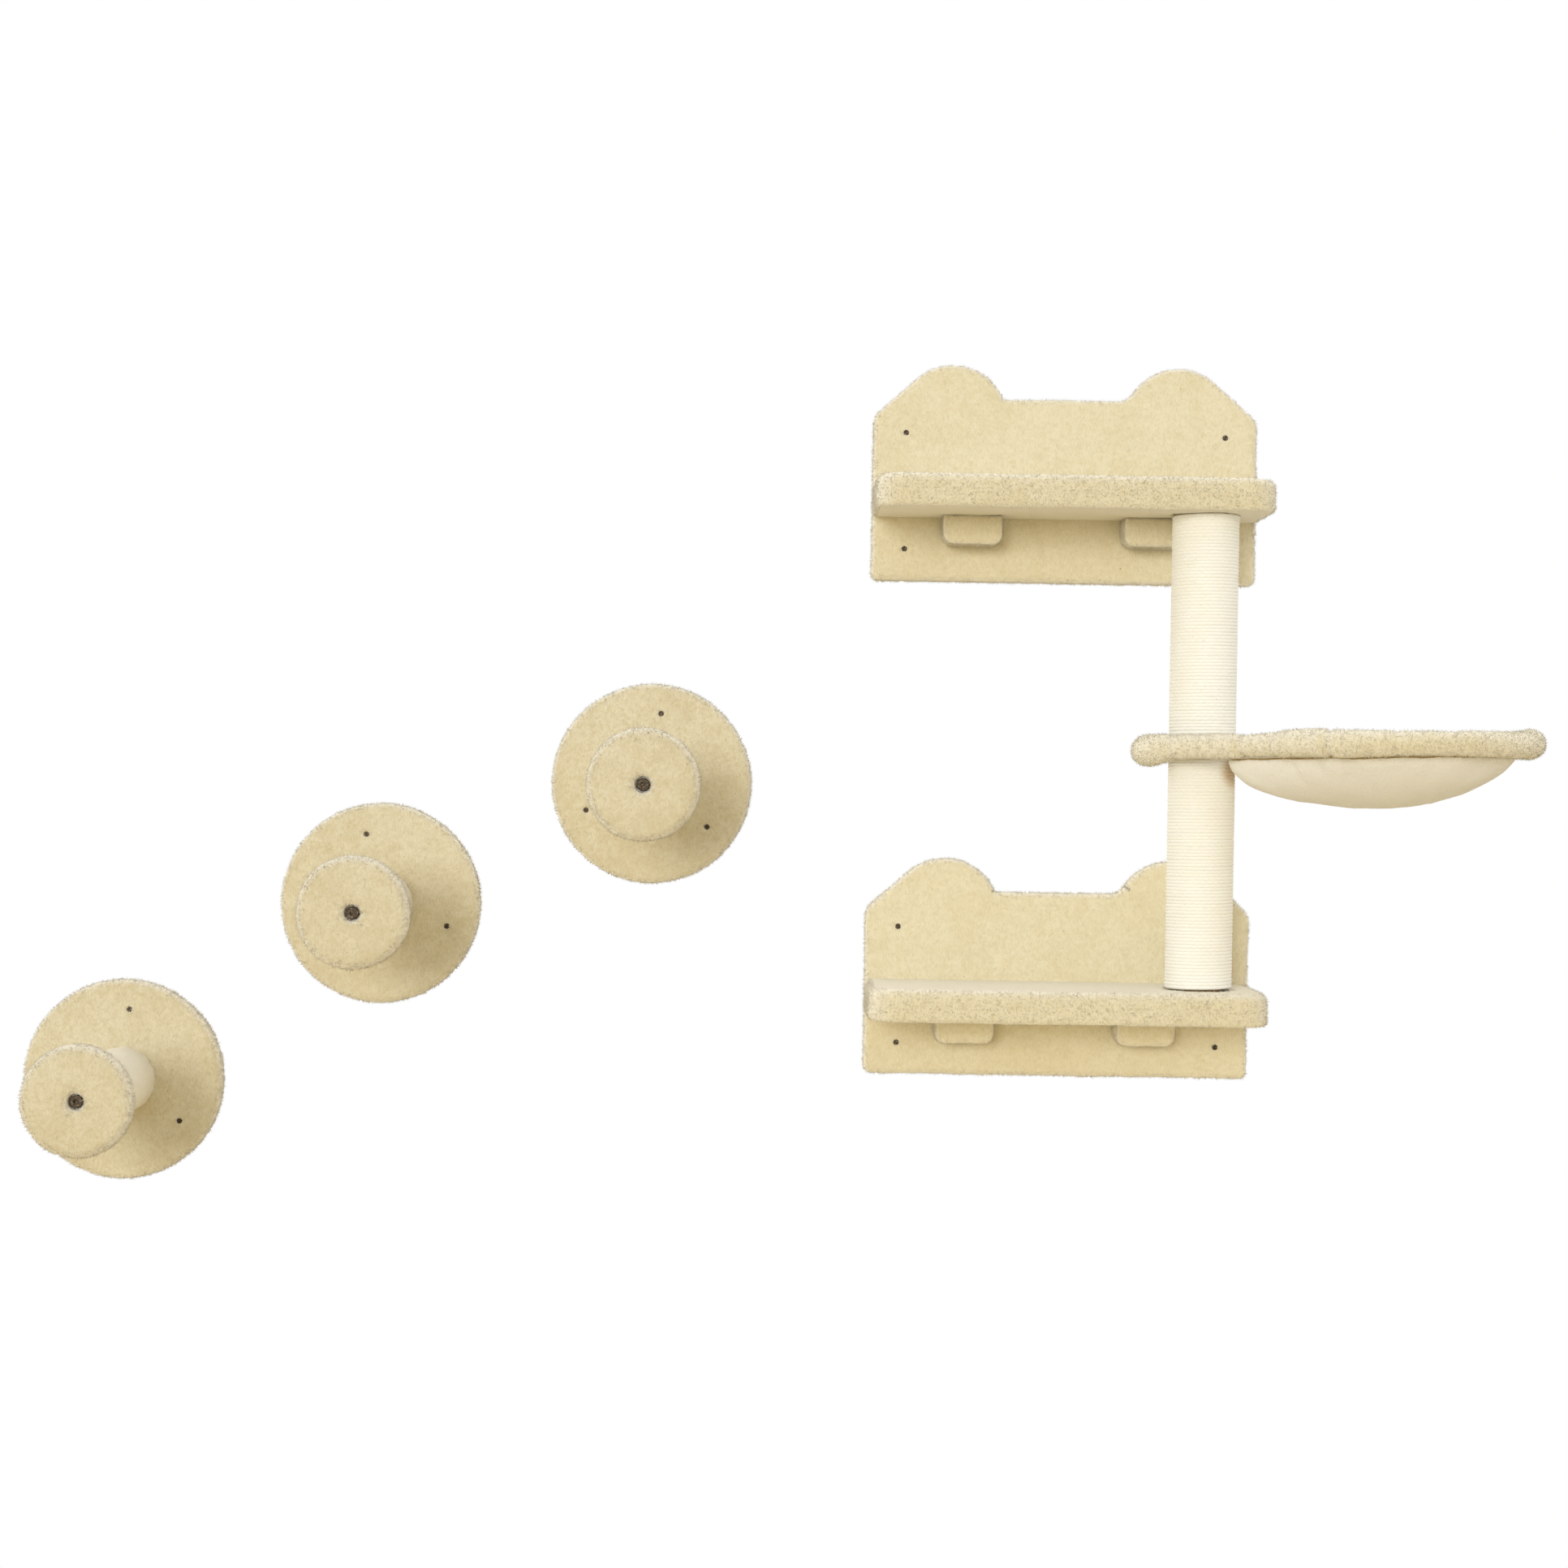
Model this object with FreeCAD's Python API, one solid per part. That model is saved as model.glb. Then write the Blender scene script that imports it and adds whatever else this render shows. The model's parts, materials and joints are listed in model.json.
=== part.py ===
"""Wall mounted cat tree: two shelf units joined by a rope-wound post with a swivelling hammock,
and three separate round steps.  Millimetres; +X right, +Y into the wall, +Z up.  The origin is
the centre of the upper panel's four wall screws, on the wall plane."""

import FreeCAD, Part
import os
from math import asin, atan2, cos, pi, radians, sin, sqrt, tan

# Plush covering and general fits
PLUSH = 2.5  # plush where it is stretched over a board
HEM = 25.0  # plush folded onto the back of a wall board
FIT = 0.15  # clearance round whatever passes through a drilled hole

# Wall panels, measured from the centre of their screw pattern
PANEL_WIDTH = 400.0
PANEL_THICK = 20.0
PANEL_BELOW = 93.0  # down to the bottom edge
PANEL_ABOVE = 97.0  # up to the top edge between the ears
PANEL_CORNER = 7.0
PANEL_EDGE = 6.0  # rounding of the covered front edge
PANEL_DROP = 515.0  # from the upper panel's screw pattern to the lower one's
EAR_X = 118.0
EAR_Z = 74.5
EAR_RADIUS = 57.0
EAR_SLOPE = 41.5  # degrees, outer flank below the horizontal
EAR_FOOT_RADIUS = 8.0
SHOULDER_RADIUS = 20.0
PANEL_SCREW_SPAN_X = 333.0
PANEL_SCREW_SPAN_Z = 121.0

# Shelves and the two blocks under each
SHELF_DEPTH = 140.0
SHELF_THICK = 33.0
SHELF_TOP = 5.5  # above the panel's screw pattern
SHELF_CORNER = 30.0  # front corners, seen from above
SHELF_EDGE = 12.0  # rounding of the upper edge
SHELF_LOWER_EDGE = 4.0
BLOCK_WIDTH = 60.0
BLOCK_HEIGHT = 29.5
BLOCK_DEPTH = 42.0
BLOCK_CORNER = 10.0
BLOCK_EDGE = 4.0
BLOCK_LEFT_X = -98.0
BLOCK_RIGHT_X = 89.0

# Post between the shelves
POST_X = 135.0
POST_OUT = 82.0  # axis in front of the panel's face
POST_DIAMETER = 68.0
POST_TUBE_WALL = 3.0
PLUG_LENGTH = 40.0
ROPE_TURNS = 24  # per half; each stands for three turns of the real, finer rope
ROPE_SELF_GAP = 0.5
ROPE_SEAT_GAP = 0.3  # rope to tube, and rope to shelf
POINTS_PER_TURN = 36  # where the winding's gap to itself is measured

# Hammock: wire frame in a plush sleeve, with a hanging bag
WIRE_DIAMETER = 8.0
SLEEVE_DIAMETER = 27.0
SLEEVE_BORE_GAP = 0.3
RING_RADIUS = 134.0  # wire centre line round the bag
COLLAR_RADIUS = 55.0  # wire centre line round the post
RING_REACH = 189.0  # post axis to ring centre
RING_RISE = 1.5  # degrees, the unloaded ring tips up a little
REST_SWING = 20.0  # degrees from parallel to the wall, towards the front
PLATE_WIDTH = 40.0
PLATE_THICK = 3.0
PLATE_PLAY = 0.1  # above and below the plate
SWIVEL_PLAY = 0.05  # between the stud and the plate's eye
BAG_DEPTH = 53.0
BAG_WALL = 3.0
BAG_INSET = 10.5  # bag's rim inside the wire's centre line
BAG_RIM_DROP = 9.0  # bag's rim below the wire's centre line
BAG_CORNER = 24.0
BAG_POST_GAP = 2.0
BAG_FULLNESS = 0.66  # exponent of the bag's profile
BAG_SCALES = (1.0, 0.97, 0.9, 0.77, 0.58, 0.34, 0.12)  # the bag's sections, as shares of its mouth

# Steps: centre X and Z, and the turn of the screw triangle clockwise from straight up
STEP_PLACES = {
    "step_1": (-972.7, -627.3, 5.0),
    "step_2": (-707.1, -439.2, -12.0),
    "step_3": (-426.3, -309.7, 7.0),
}
DISC_DIAMETER = 207.0
DISC_THICK = 20.0
DISC_EDGE = 6.0
DISC_SCREW_CIRCLE = 147.0
DISC_SCREWS = 3
PEG_DIAMETER = 68.0
PEG_LENGTH = 178.0  # disc face to the back of the cap
PEG_TUBE_WALL = 4.0
PEG_PLUG_LENGTH = 15.0
CAP_DIAMETER = 111.0
CAP_THICK = 22.0
CAP_EDGE = 8.0
RECESS_DIAMETER = 17.0
RECESS_DEPTH = 11.0

# Fasteners
WALL_SCREW_DIAMETER = 4.5  # thread, in the wall
WALL_SCREW_SHANK = 3.4  # smooth stretch in the board
WALL_SCREW_HEAD = 8.5
WALL_SCREW_SINK = 0.3  # head below the plush
WALL_SCREW_REACH = 30.0  # past the wall plane
WOOD_SCREW_DIAMETER = 5.0
WOOD_SCREW_HEAD = 9.0
WOOD_SCREW_LENGTH = 50.0
WOOD_SCREW_HEAD_HEIGHT = 2.5
SCREW_TIP = 5.0
DRIVER_SLOT_WIDTH = 1.0
DRIVER_SLOT_SHARE = 0.6  # of the head's diameter
SHELF_SCREW_SPAN = 150.0  # outer shelf screws each side of the middle one
BLOCK_SCREW_SPAN = 30.0
BOLT_DIAMETER = 8.0
BOLT_HEAD_DIAMETER = 13.0
BOLT_HEAD_HEIGHT = 5.0
BOLT_HEAD_EDGE = 1.2
SOCKET_ACROSS_CORNERS = 5.8
SOCKET_DEPTH = 3.0
BOLT_GRIP = 35.0  # length of thread in a plug
WASHER_DIAMETER = 24.0
RECESS_WASHER_DIAMETER = 16.0
WASHER_THICK = 1.6
WASHER_SINK = 1.8  # post washers pressed into the shelves' plush
TEE_FLANGE_DIAMETER = 19.0
TEE_FLANGE_THICK = 1.5
TEE_BARREL_DIAMETER = 10.0
TEE_BARREL_LENGTH = 9.0

# Worked out from the above
SHELF_UNDER = SHELF_TOP - SHELF_THICK
POST_Y = -PANEL_THICK - POST_OUT
POST_TOP = SHELF_UNDER
POST_FOOT = SHELF_TOP - PANEL_DROP
RING_Z = (POST_TOP + POST_FOOT) / 2
HALF_GAP = PLATE_THICK / 2 + PLATE_PLAY
HALF_LENGTH = POST_TOP - RING_Z - HALF_GAP
ROPE_RADIUS = (HALF_LENGTH - ROPE_TURNS * ROPE_SELF_GAP - 2 * ROPE_SEAT_GAP) / (2 * ROPE_TURNS + 2)
ROPE_PITCH = 2 * ROPE_RADIUS + ROPE_SELF_GAP
ROPE_LINE = POST_DIAMETER / 2 - ROPE_RADIUS
POST_TUBE_RADIUS = ROPE_LINE - ROPE_RADIUS - ROPE_SEAT_GAP
BOLT_HOLE = BOLT_DIAMETER / 2 + FIT
FLARE = asin((RING_RADIUS - COLLAR_RADIUS) / RING_REACH)  # wire's straight sides off the arm's line

Vec = FreeCAD.Vector
UP = Vec(0, 0, 1)
INTO_WALL = Vec(0, 1, 0)
OUT_OF_WALL = Vec(0, -1, 0)
ARM = Vec(1, 0, 0)
CLOSE = 1e-4  # lengths nearer than this are the same


# ---------------------------------------------------------------- outlines
def on_circle(centre, radius, angle):
    """Point of a circle in a panel's plane, angle in radians from +X towards +Z."""
    return centre + Vec(radius * cos(angle), 0, radius * sin(angle))


def arc(centre, radius, start, end):
    points = [on_circle(centre, radius, a) for a in (start, (start + end) / 2, end)]
    return Part.Arc(*points).toShape()


def panel_outline():
    """Eared outline of a covered panel: the right half's edges and their mirror images."""
    side = PANEL_WIDTH / 2
    slope = radians(EAR_SLOPE)
    ear = Vec(EAR_X, 0, EAR_Z)
    flank_top = on_circle(ear, EAR_RADIUS, pi / 2 - slope)
    shoulder_z = flank_top.z - (side - flank_top.x) * tan(slope)
    setback = SHOULDER_RADIUS * tan((pi / 2 - slope) / 2)
    shoulder = Vec(side - SHOULDER_RADIUS, 0, shoulder_z - setback)
    corner = Vec(side - PANEL_CORNER, 0, PANEL_CORNER - PANEL_BELOW)
    rise = PANEL_ABOVE + EAR_FOOT_RADIUS - EAR_Z
    foot = ear + Vec(-sqrt((EAR_RADIUS + EAR_FOOT_RADIUS) ** 2 - rise**2), 0, rise)
    foot_angle = atan2(foot.z - ear.z, foot.x - ear.x)
    bends = [
        arc(corner, PANEL_CORNER, -pi / 2, 0),
        arc(shoulder, SHOULDER_RADIUS, 0, pi / 2 - slope),
        arc(ear, EAR_RADIUS, pi / 2 - slope, foot_angle),
        arc(foot, EAR_FOOT_RADIUS, foot_angle - pi, -pi / 2),
    ]
    starts = [bend.Vertexes[0].Point for bend in bends]
    ends = [bend.Vertexes[-1].Point for bend in bends]
    middle_low = Vec(0, 0, -PANEL_BELOW)
    middle_top = Vec(0, 0, PANEL_ABOVE)
    spans = [(middle_low, starts[0]), (ends[0], starts[1]), (ends[1], starts[2]), (ends[3], middle_top)]
    half = bends + [Part.LineSegment(a, b).toShape() for a, b in spans]
    mirrored = [edge.mirror(Vec(0, 0, 0), ARM) for edge in half]
    return Part.Wire(Part.__sortEdges__(half + mirrored))


def shelf_outline(inset):
    """Plan of a shelf: square at the panel, large radii at the front corners."""
    side = PANEL_WIDTH / 2 - inset
    back = -PANEL_THICK
    front = back - SHELF_DEPTH + inset
    radius = SHELF_CORNER - inset
    slant = radius * sin(pi / 4)
    right = Vec(side - radius, front + radius, 0)
    left = Vec(-side + radius, front + radius, 0)
    edges = [
        Part.LineSegment(Vec(-side, back, 0), Vec(side, back, 0)),
        Part.LineSegment(Vec(side, back, 0), right + Vec(radius, 0, 0)),
        Part.Arc(right + Vec(radius, 0, 0), right + Vec(slant, -slant, 0), right + Vec(0, -radius, 0)),
        Part.LineSegment(right + Vec(0, -radius, 0), left + Vec(0, -radius, 0)),
        Part.Arc(left + Vec(0, -radius, 0), left + Vec(-slant, -slant, 0), left + Vec(-radius, 0, 0)),
        Part.LineSegment(left + Vec(-radius, 0, 0), Vec(-side, back, 0)),
    ]
    return Part.Wire([edge.toShape() for edge in edges])


# ---------------------------------------------------------------- small solids
def rod(diameter, start, direction, length):
    return Part.makeCylinder(diameter / 2, length, start, direction)


def edges_at(solid, keep):
    """Edges of a solid whose middle point passes a test."""
    middles = [(edge, edge.valueAt((edge.FirstParameter + edge.LastParameter) / 2)) for edge in solid.Edges]
    return [edge for edge, middle in middles if keep(middle)]


def near(a, b):
    return abs(a - b) < CLOSE


def countersunk(start, direction, diameter, head, head_height, length, slotted=True, grow=0.0):
    """Wood screw with its head's face at start; grown by a clearance it is the screw's own hole."""
    radius = diameter / 2 + grow
    cone = Part.makeCone(head / 2 + grow, radius, head_height, start, direction)
    shank = Part.makeCylinder(radius, length - SCREW_TIP, start, direction)
    tip = Part.makeCone(radius, grow, SCREW_TIP, start + direction * (length - SCREW_TIP), direction)
    screw = cone.fuse([shank, tip]).removeSplitter()
    if slotted:
        screw = screw.cut(cross_slot(start, direction, head * DRIVER_SLOT_SHARE, head_height / 2))
    return screw


def cross_slot(start, direction, across, depth):
    """Cross-shaped driver recess, cut down from a head's face."""
    bars = [
        Part.makeBox(across, DRIVER_SLOT_WIDTH, depth, Vec(-across / 2, -DRIVER_SLOT_WIDTH / 2, 0)),
        Part.makeBox(DRIVER_SLOT_WIDTH, across, depth, Vec(-DRIVER_SLOT_WIDTH / 2, -across / 2, 0)),
    ]
    slot = bars[0].fuse(bars[1])
    slot.Placement = FreeCAD.Placement(start, FreeCAD.Rotation(UP, direction))
    return slot


def hex_socket(start, direction):
    corners = [Vec(cos(k * pi / 3), sin(k * pi / 3), 0) * (SOCKET_ACROSS_CORNERS / 2) for k in range(7)]
    socket = Part.Face(Part.makePolygon(corners)).extrude(UP * SOCKET_DEPTH)
    socket.Placement = FreeCAD.Placement(start, FreeCAD.Rotation(UP, direction))
    return socket


def socket_bolt(seat, direction, length):
    """Bolt whose head stands on seat and whose shank runs from it along direction."""
    head = rod(BOLT_HEAD_DIAMETER, seat - direction * BOLT_HEAD_HEIGHT, direction, BOLT_HEAD_HEIGHT)
    free_face = seat - direction * BOLT_HEAD_HEIGHT
    rims = edges_at(head, lambda p: near((p - free_face).dot(direction), 0))
    head = head.makeFillet(BOLT_HEAD_EDGE, rims)
    bolt = head.fuse(rod(BOLT_DIAMETER, seat, direction, length)).removeSplitter()
    return bolt.cut(hex_socket(free_face, direction))


def washer(seat, direction, diameter):
    ring = rod(diameter, seat, direction, WASHER_THICK)
    return ring.cut(rod(2 * BOLT_HOLE, seat, direction, WASHER_THICK))


# ---------------------------------------------------------------- wall panels
def panel_solid(face, back, front, edge_radius):
    """Board between two depths from the wall, its front edge rounded."""
    solid = face.extrude(OUT_OF_WALL * (front - back))
    solid.translate(OUT_OF_WALL * back)
    return solid.makeFillet(edge_radius, edges_at(solid, lambda p: near(p.y, -front)))


def panel_screw_starts():
    y = WALL_SCREW_SINK - PANEL_THICK
    half_x = PANEL_SCREW_SPAN_X / 2
    half_z = PANEL_SCREW_SPAN_Z / 2
    return [Vec(x, y, z) for z in (half_z, -half_z) for x in (-half_x, half_x)]


def wall_screw(start):
    """Screw with its head in the plush, a thinner smooth shank in the board and its thread in the wall."""
    length = WALL_SCREW_REACH - start.y
    head_height = PLUSH - WALL_SCREW_SINK
    screw = countersunk(start, INTO_WALL, WALL_SCREW_DIAMETER, WALL_SCREW_HEAD, head_height, length)
    neck = start + INTO_WALL * head_height
    relief = rod(WALL_SCREW_HEAD, neck, INTO_WALL, -neck.y)
    return screw.cut(relief.cut(rod(WALL_SCREW_SHANK, neck, INTO_WALL, -neck.y)))


def hidden_screw(x, z, grow=0.0):
    """Screw driven from the back of the panel's board towards the front."""
    sizes = (WOOD_SCREW_DIAMETER, WOOD_SCREW_HEAD, WOOD_SCREW_HEAD_HEIGHT, WOOD_SCREW_LENGTH)
    return countersunk(Vec(x, -PLUSH, z), OUT_OF_WALL, *sizes, not grow, grow)


def shelf_screws(grow=0.0):
    z = SHELF_TOP - SHELF_THICK / 2
    return [hidden_screw(x, z, grow) for x in (-SHELF_SCREW_SPAN, 0.0, SHELF_SCREW_SPAN)]


def block_screws(grow=0.0):
    z = SHELF_UNDER - BLOCK_HEIGHT / 2
    offsets = (-BLOCK_SCREW_SPAN / 2, BLOCK_SCREW_SPAN / 2)
    return [hidden_screw(x + dx, z, grow) for x in (BLOCK_LEFT_X, BLOCK_RIGHT_X) for dx in offsets]


def panel_parts():
    face = Part.Face(panel_outline())
    core_face = face.makeOffset2D(-PLUSH)
    bare_face = face.makeOffset2D(-PLUSH - HEM)
    outer = panel_solid(face, 0.0, PANEL_THICK, PANEL_EDGE)
    core = panel_solid(core_face, PLUSH, PANEL_THICK - PLUSH, PANEL_EDGE - PLUSH)
    bare = bare_face.extrude(OUT_OF_WALL * PLUSH)
    holes = shelf_screws(FIT) + block_screws(FIT)
    head_holes = [rod(WALL_SCREW_HEAD + 2 * FIT, p, INTO_WALL, PLUSH) for p in panel_screw_starts()]
    head_mouths = [rod(WALL_SCREW_HEAD + 2 * FIT, p, OUT_OF_WALL, PLUSH) for p in panel_screw_starts()]
    shanks = [rod(WALL_SCREW_DIAMETER + 2 * FIT, p, INTO_WALL, PANEL_THICK) for p in panel_screw_starts()]
    cover = outer.cut([core, bare] + holes + head_holes + head_mouths + shanks)
    return core.cut(holes + shanks), cover


# ---------------------------------------------------------------- shelves and blocks
def shelf_solid(inset):
    solid = Part.Face(shelf_outline(inset)).extrude(UP * (SHELF_THICK - 2 * inset))
    solid.translate(UP * (SHELF_UNDER + inset))
    for level, radius in ((SHELF_TOP - inset, SHELF_EDGE), (SHELF_UNDER + inset, SHELF_LOWER_EDGE)):
        rims = edges_at(solid, lambda p: near(p.z, level) and p.y < -PANEL_THICK - FIT)
        solid = solid.makeFillet(radius - inset, rims)
    return solid


def shelf_parts(washer_face, out):
    """Board and cover; the post's washer sinks into the face at that height, which looks out."""
    post_hole = rod(2 * BOLT_HOLE, Vec(POST_X, POST_Y, SHELF_UNDER), UP, SHELF_THICK)
    pocket = rod(WASHER_DIAMETER + 2 * FIT, Vec(POST_X, POST_Y, washer_face), out * -1, WASHER_SINK)
    core = shelf_solid(PLUSH)
    cover = shelf_solid(0.0).cut([core, post_hole, pocket])
    return core.cut(shelf_screws(FIT) + [post_hole]), cover


def block_solid(x, inset, lower_radius):
    """Block or its covering's outside: square at the panel, its lower corners rounded."""
    width = BLOCK_WIDTH - 2 * inset
    corner = Vec(x - width / 2, -PANEL_THICK - BLOCK_DEPTH + inset, SHELF_UNDER - BLOCK_HEIGHT + inset)
    solid = Part.makeBox(width, BLOCK_DEPTH - inset, BLOCK_HEIGHT - 2 * inset, corner)
    lower = edges_at(solid, lambda p: near(p.z, corner.z) and not near(p.x, x))
    solid = solid.makeFillet(lower_radius, lower)
    front = edges_at(solid, lambda p: near(p.y, corner.y))
    return solid.makeFillet(BLOCK_EDGE - inset, front)


def block_parts(x):
    core = block_solid(x, PLUSH, BLOCK_CORNER - PLUSH)
    cover = block_solid(x, 0.0, BLOCK_CORNER).cut(core)
    return core.cut(block_screws(FIT)), cover


def shelf_unit(name, drop, washer_face, out):
    """One panel with its shelf and blocks, its screw pattern centred drop below the origin."""
    panel, panel_cover = panel_parts()
    shelf, shelf_cover = shelf_parts(washer_face, out)
    left, left_cover = block_parts(BLOCK_LEFT_X)
    right, right_cover = block_parts(BLOCK_RIGHT_X)
    pieces = {
        "panel_board": [panel],
        "panel_cover": [panel_cover],
        "shelf_board": [shelf],
        "shelf_cover": [shelf_cover],
        "left_block": [left],
        "right_block": [right],
        "block_covers": [left_cover, right_cover],
        "wall_screws": [wall_screw(p) for p in panel_screw_starts()],
        "shelf_screws": shelf_screws(),
        "block_screws": block_screws(),
    }
    for solids in pieces.values():
        for solid in solids:
            solid.translate(UP * -drop)
    return {name + "_" + piece: solids for piece, solids in pieces.items()}


# ---------------------------------------------------------------- post
def helix_point(radius, pitch, angle):
    return Vec(radius * cos(angle), radius * sin(angle), pitch * angle / (2 * pi))


def helix_heading(radius, pitch, angle):
    return Vec(-radius * sin(angle), radius * cos(angle), pitch / (2 * pi)).normalize()


def biarc(start, start_way, end, end_way):
    """Two arcs that leave start along start_way and reach end along end_way."""
    chord = end - start
    ways = start_way + end_way
    spread = 2 - 2 * start_way.dot(end_way)
    reach = (sqrt(chord.dot(ways) ** 2 + spread * chord.dot(chord)) - chord.dot(ways)) / spread
    corners = [start + start_way * reach, end - end_way * reach]
    joint = (corners[0] + corners[1]) * 0.5
    return [bend(start, corners[0], joint), bend(joint, corners[1], end)]


def bend(start, corner, end):
    """Arc from start to end whose tangents meet at corner."""
    middle = (start + end) * 0.5
    half_chord = (end - middle).Length
    to_corner = corner - middle
    half_turn = atan2(to_corner.Length, half_chord)
    sagitta = half_chord * tan(half_turn / 2)
    return Part.Arc(start, middle + to_corner.normalize() * sagitta, end).toShape()


def rope_path():
    spans = 2 * ROPE_TURNS
    edges = []
    for k in range(spans):
        a, b = k * pi, (k + 1) * pi
        edges += biarc(
            helix_point(ROPE_LINE, ROPE_PITCH, a),
            helix_heading(ROPE_LINE, ROPE_PITCH, a),
            helix_point(ROPE_LINE, ROPE_PITCH, b),
            helix_heading(ROPE_LINE, ROPE_PITCH, b),
        )
    return Part.Wire(edges)


def least_self_gap(path, radius):
    """Smallest space between neighbouring turns, measured on points along the path."""
    points = path.discretize(ROPE_TURNS * POINTS_PER_TURN)
    least = min(
        (points[i] - points[j]).Length
        for i in range(len(points))
        for j in range(i + POINTS_PER_TURN // 2, min(i + 3 * POINTS_PER_TURN // 2, len(points)))
    )
    return least - 2 * radius


def rope_winding():
    """One unbroken winding, its lowest turn's centre line starting at height 0."""
    path = rope_path()
    print("rope: radius %.2f, least gap to itself %.2f" % (ROPE_RADIUS, least_self_gap(path, ROPE_RADIUS)))
    heading = helix_heading(ROPE_LINE, ROPE_PITCH, 0)
    section = Part.Wire(Part.Circle(Vec(ROPE_LINE, 0, 0), heading, ROPE_RADIUS).toShape())
    return path.makePipeShell([section], True, False)


def post_half(low):
    """Rope, tube and end plugs of one half of the post, standing at height low."""
    axis = Vec(POST_X, POST_Y, low)
    rope = rope_winding()
    rope.translate(axis + UP * (ROPE_RADIUS + ROPE_SEAT_GAP))
    bore = 2 * (POST_TUBE_RADIUS - POST_TUBE_WALL)
    tube = rod(2 * POST_TUBE_RADIUS, axis, UP, HALF_LENGTH).cut(rod(bore, axis, UP, HALF_LENGTH))
    plugs = []
    for z in (0.0, HALF_LENGTH - PLUG_LENGTH):
        plug = rod(bore - 2 * FIT, axis + UP * z, UP, PLUG_LENGTH)
        plugs.append(plug.cut(rod(2 * BOLT_HOLE, axis + UP * z, UP, PLUG_LENGTH)))
    return {"tube": [tube], "rope": [rope], "plugs": plugs}


def post_parts():
    pieces = {}
    for name, low in (("upper_post", RING_Z + HALF_GAP), ("lower_post", POST_FOOT)):
        for piece, solids in post_half(low).items():
            pieces[name + "_" + piece] = solids
    top = Vec(POST_X, POST_Y, SHELF_TOP - WASHER_SINK)
    foot = Vec(POST_X, POST_Y, SHELF_UNDER - PANEL_DROP + WASHER_SINK)
    length = WASHER_THICK + SHELF_THICK - WASHER_SINK + BOLT_GRIP
    stud_length = 2 * (HALF_GAP + BOLT_GRIP)
    pieces["post_bolts"] = [
        socket_bolt(top + UP * WASHER_THICK, UP * -1, length),
        socket_bolt(foot - UP * WASHER_THICK, UP, length),
    ]
    pieces["post_washers"] = [washer(top, UP, WASHER_DIAMETER), washer(foot, UP * -1, WASHER_DIAMETER)]
    pieces["post_stud"] = [rod(BOLT_DIAMETER, Vec(POST_X, POST_Y, RING_Z - stud_length / 2), UP, stud_length)]
    return pieces


# ---------------------------------------------------------------- hammock
# Built with the post's axis as Z, the arm along +X and the wire's plane at height 0.
def polar(cx, radius, angle, z=0.0):
    return Vec(cx + radius * cos(angle), radius * sin(angle), z)


def flipped(point):
    """The same place on the arm's other side."""
    return Vec(point.x, -point.y, 0)


def ring_arcs(radius, turn):
    """Large arc round the ring's centre from -turn to turn, as two arcs."""
    ends = [polar(RING_REACH, radius, share * turn) for share in (-1, -0.5, 0, 0.5, 1)]
    return [Part.Arc(*ends[:3]), Part.Arc(*ends[2:])]


def frame_outline(offset):
    """Closed line round post and ring: a small arc, two straight sides and a large arc."""
    small = COLLAR_RADIUS + offset
    large = RING_RADIUS + offset
    turn = pi / 2 + FLARE
    edges = [
        Part.Arc(polar(0, small, turn), polar(0, small, pi), polar(0, small, -turn)),
        Part.LineSegment(polar(0, small, -turn), polar(RING_REACH, large, -turn)),
        *ring_arcs(large, turn),
        Part.LineSegment(polar(RING_REACH, large, turn), polar(0, small, turn)),
    ]
    return Part.Wire([edge.toShape() for edge in edges])


def frame_sweep(diameter):
    path = frame_outline(0.0)
    start = path.Edges[0].valueAt(path.Edges[0].FirstParameter)
    heading = path.Edges[0].tangentAt(path.Edges[0].FirstParameter)
    section = Part.Wire(Part.Circle(start, heading, diameter / 2).toShape())
    return path.makePipeShell([section], True, True)


def plate_solid(grow):
    """Flat plate from the post's stud to the wire: a bar across the arm and one away from the bag."""
    reach = COLLAR_RADIUS + RING_RADIUS
    width = PLATE_WIDTH + 2 * grow
    thick = PLATE_THICK + 2 * grow
    across = Part.makeBox(width, 2 * reach, thick, Vec(-width / 2, -reach, -thick / 2))
    away = Part.makeBox(reach, width, thick, Vec(-reach, -width / 2, -thick / 2))
    inside = Part.Face(frame_outline(-WIRE_DIAMETER / 2 - FIT)).extrude(UP * thick)
    inside.translate(UP * (-thick / 2))
    return across.fuse(away).common(inside).removeSplitter()


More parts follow.
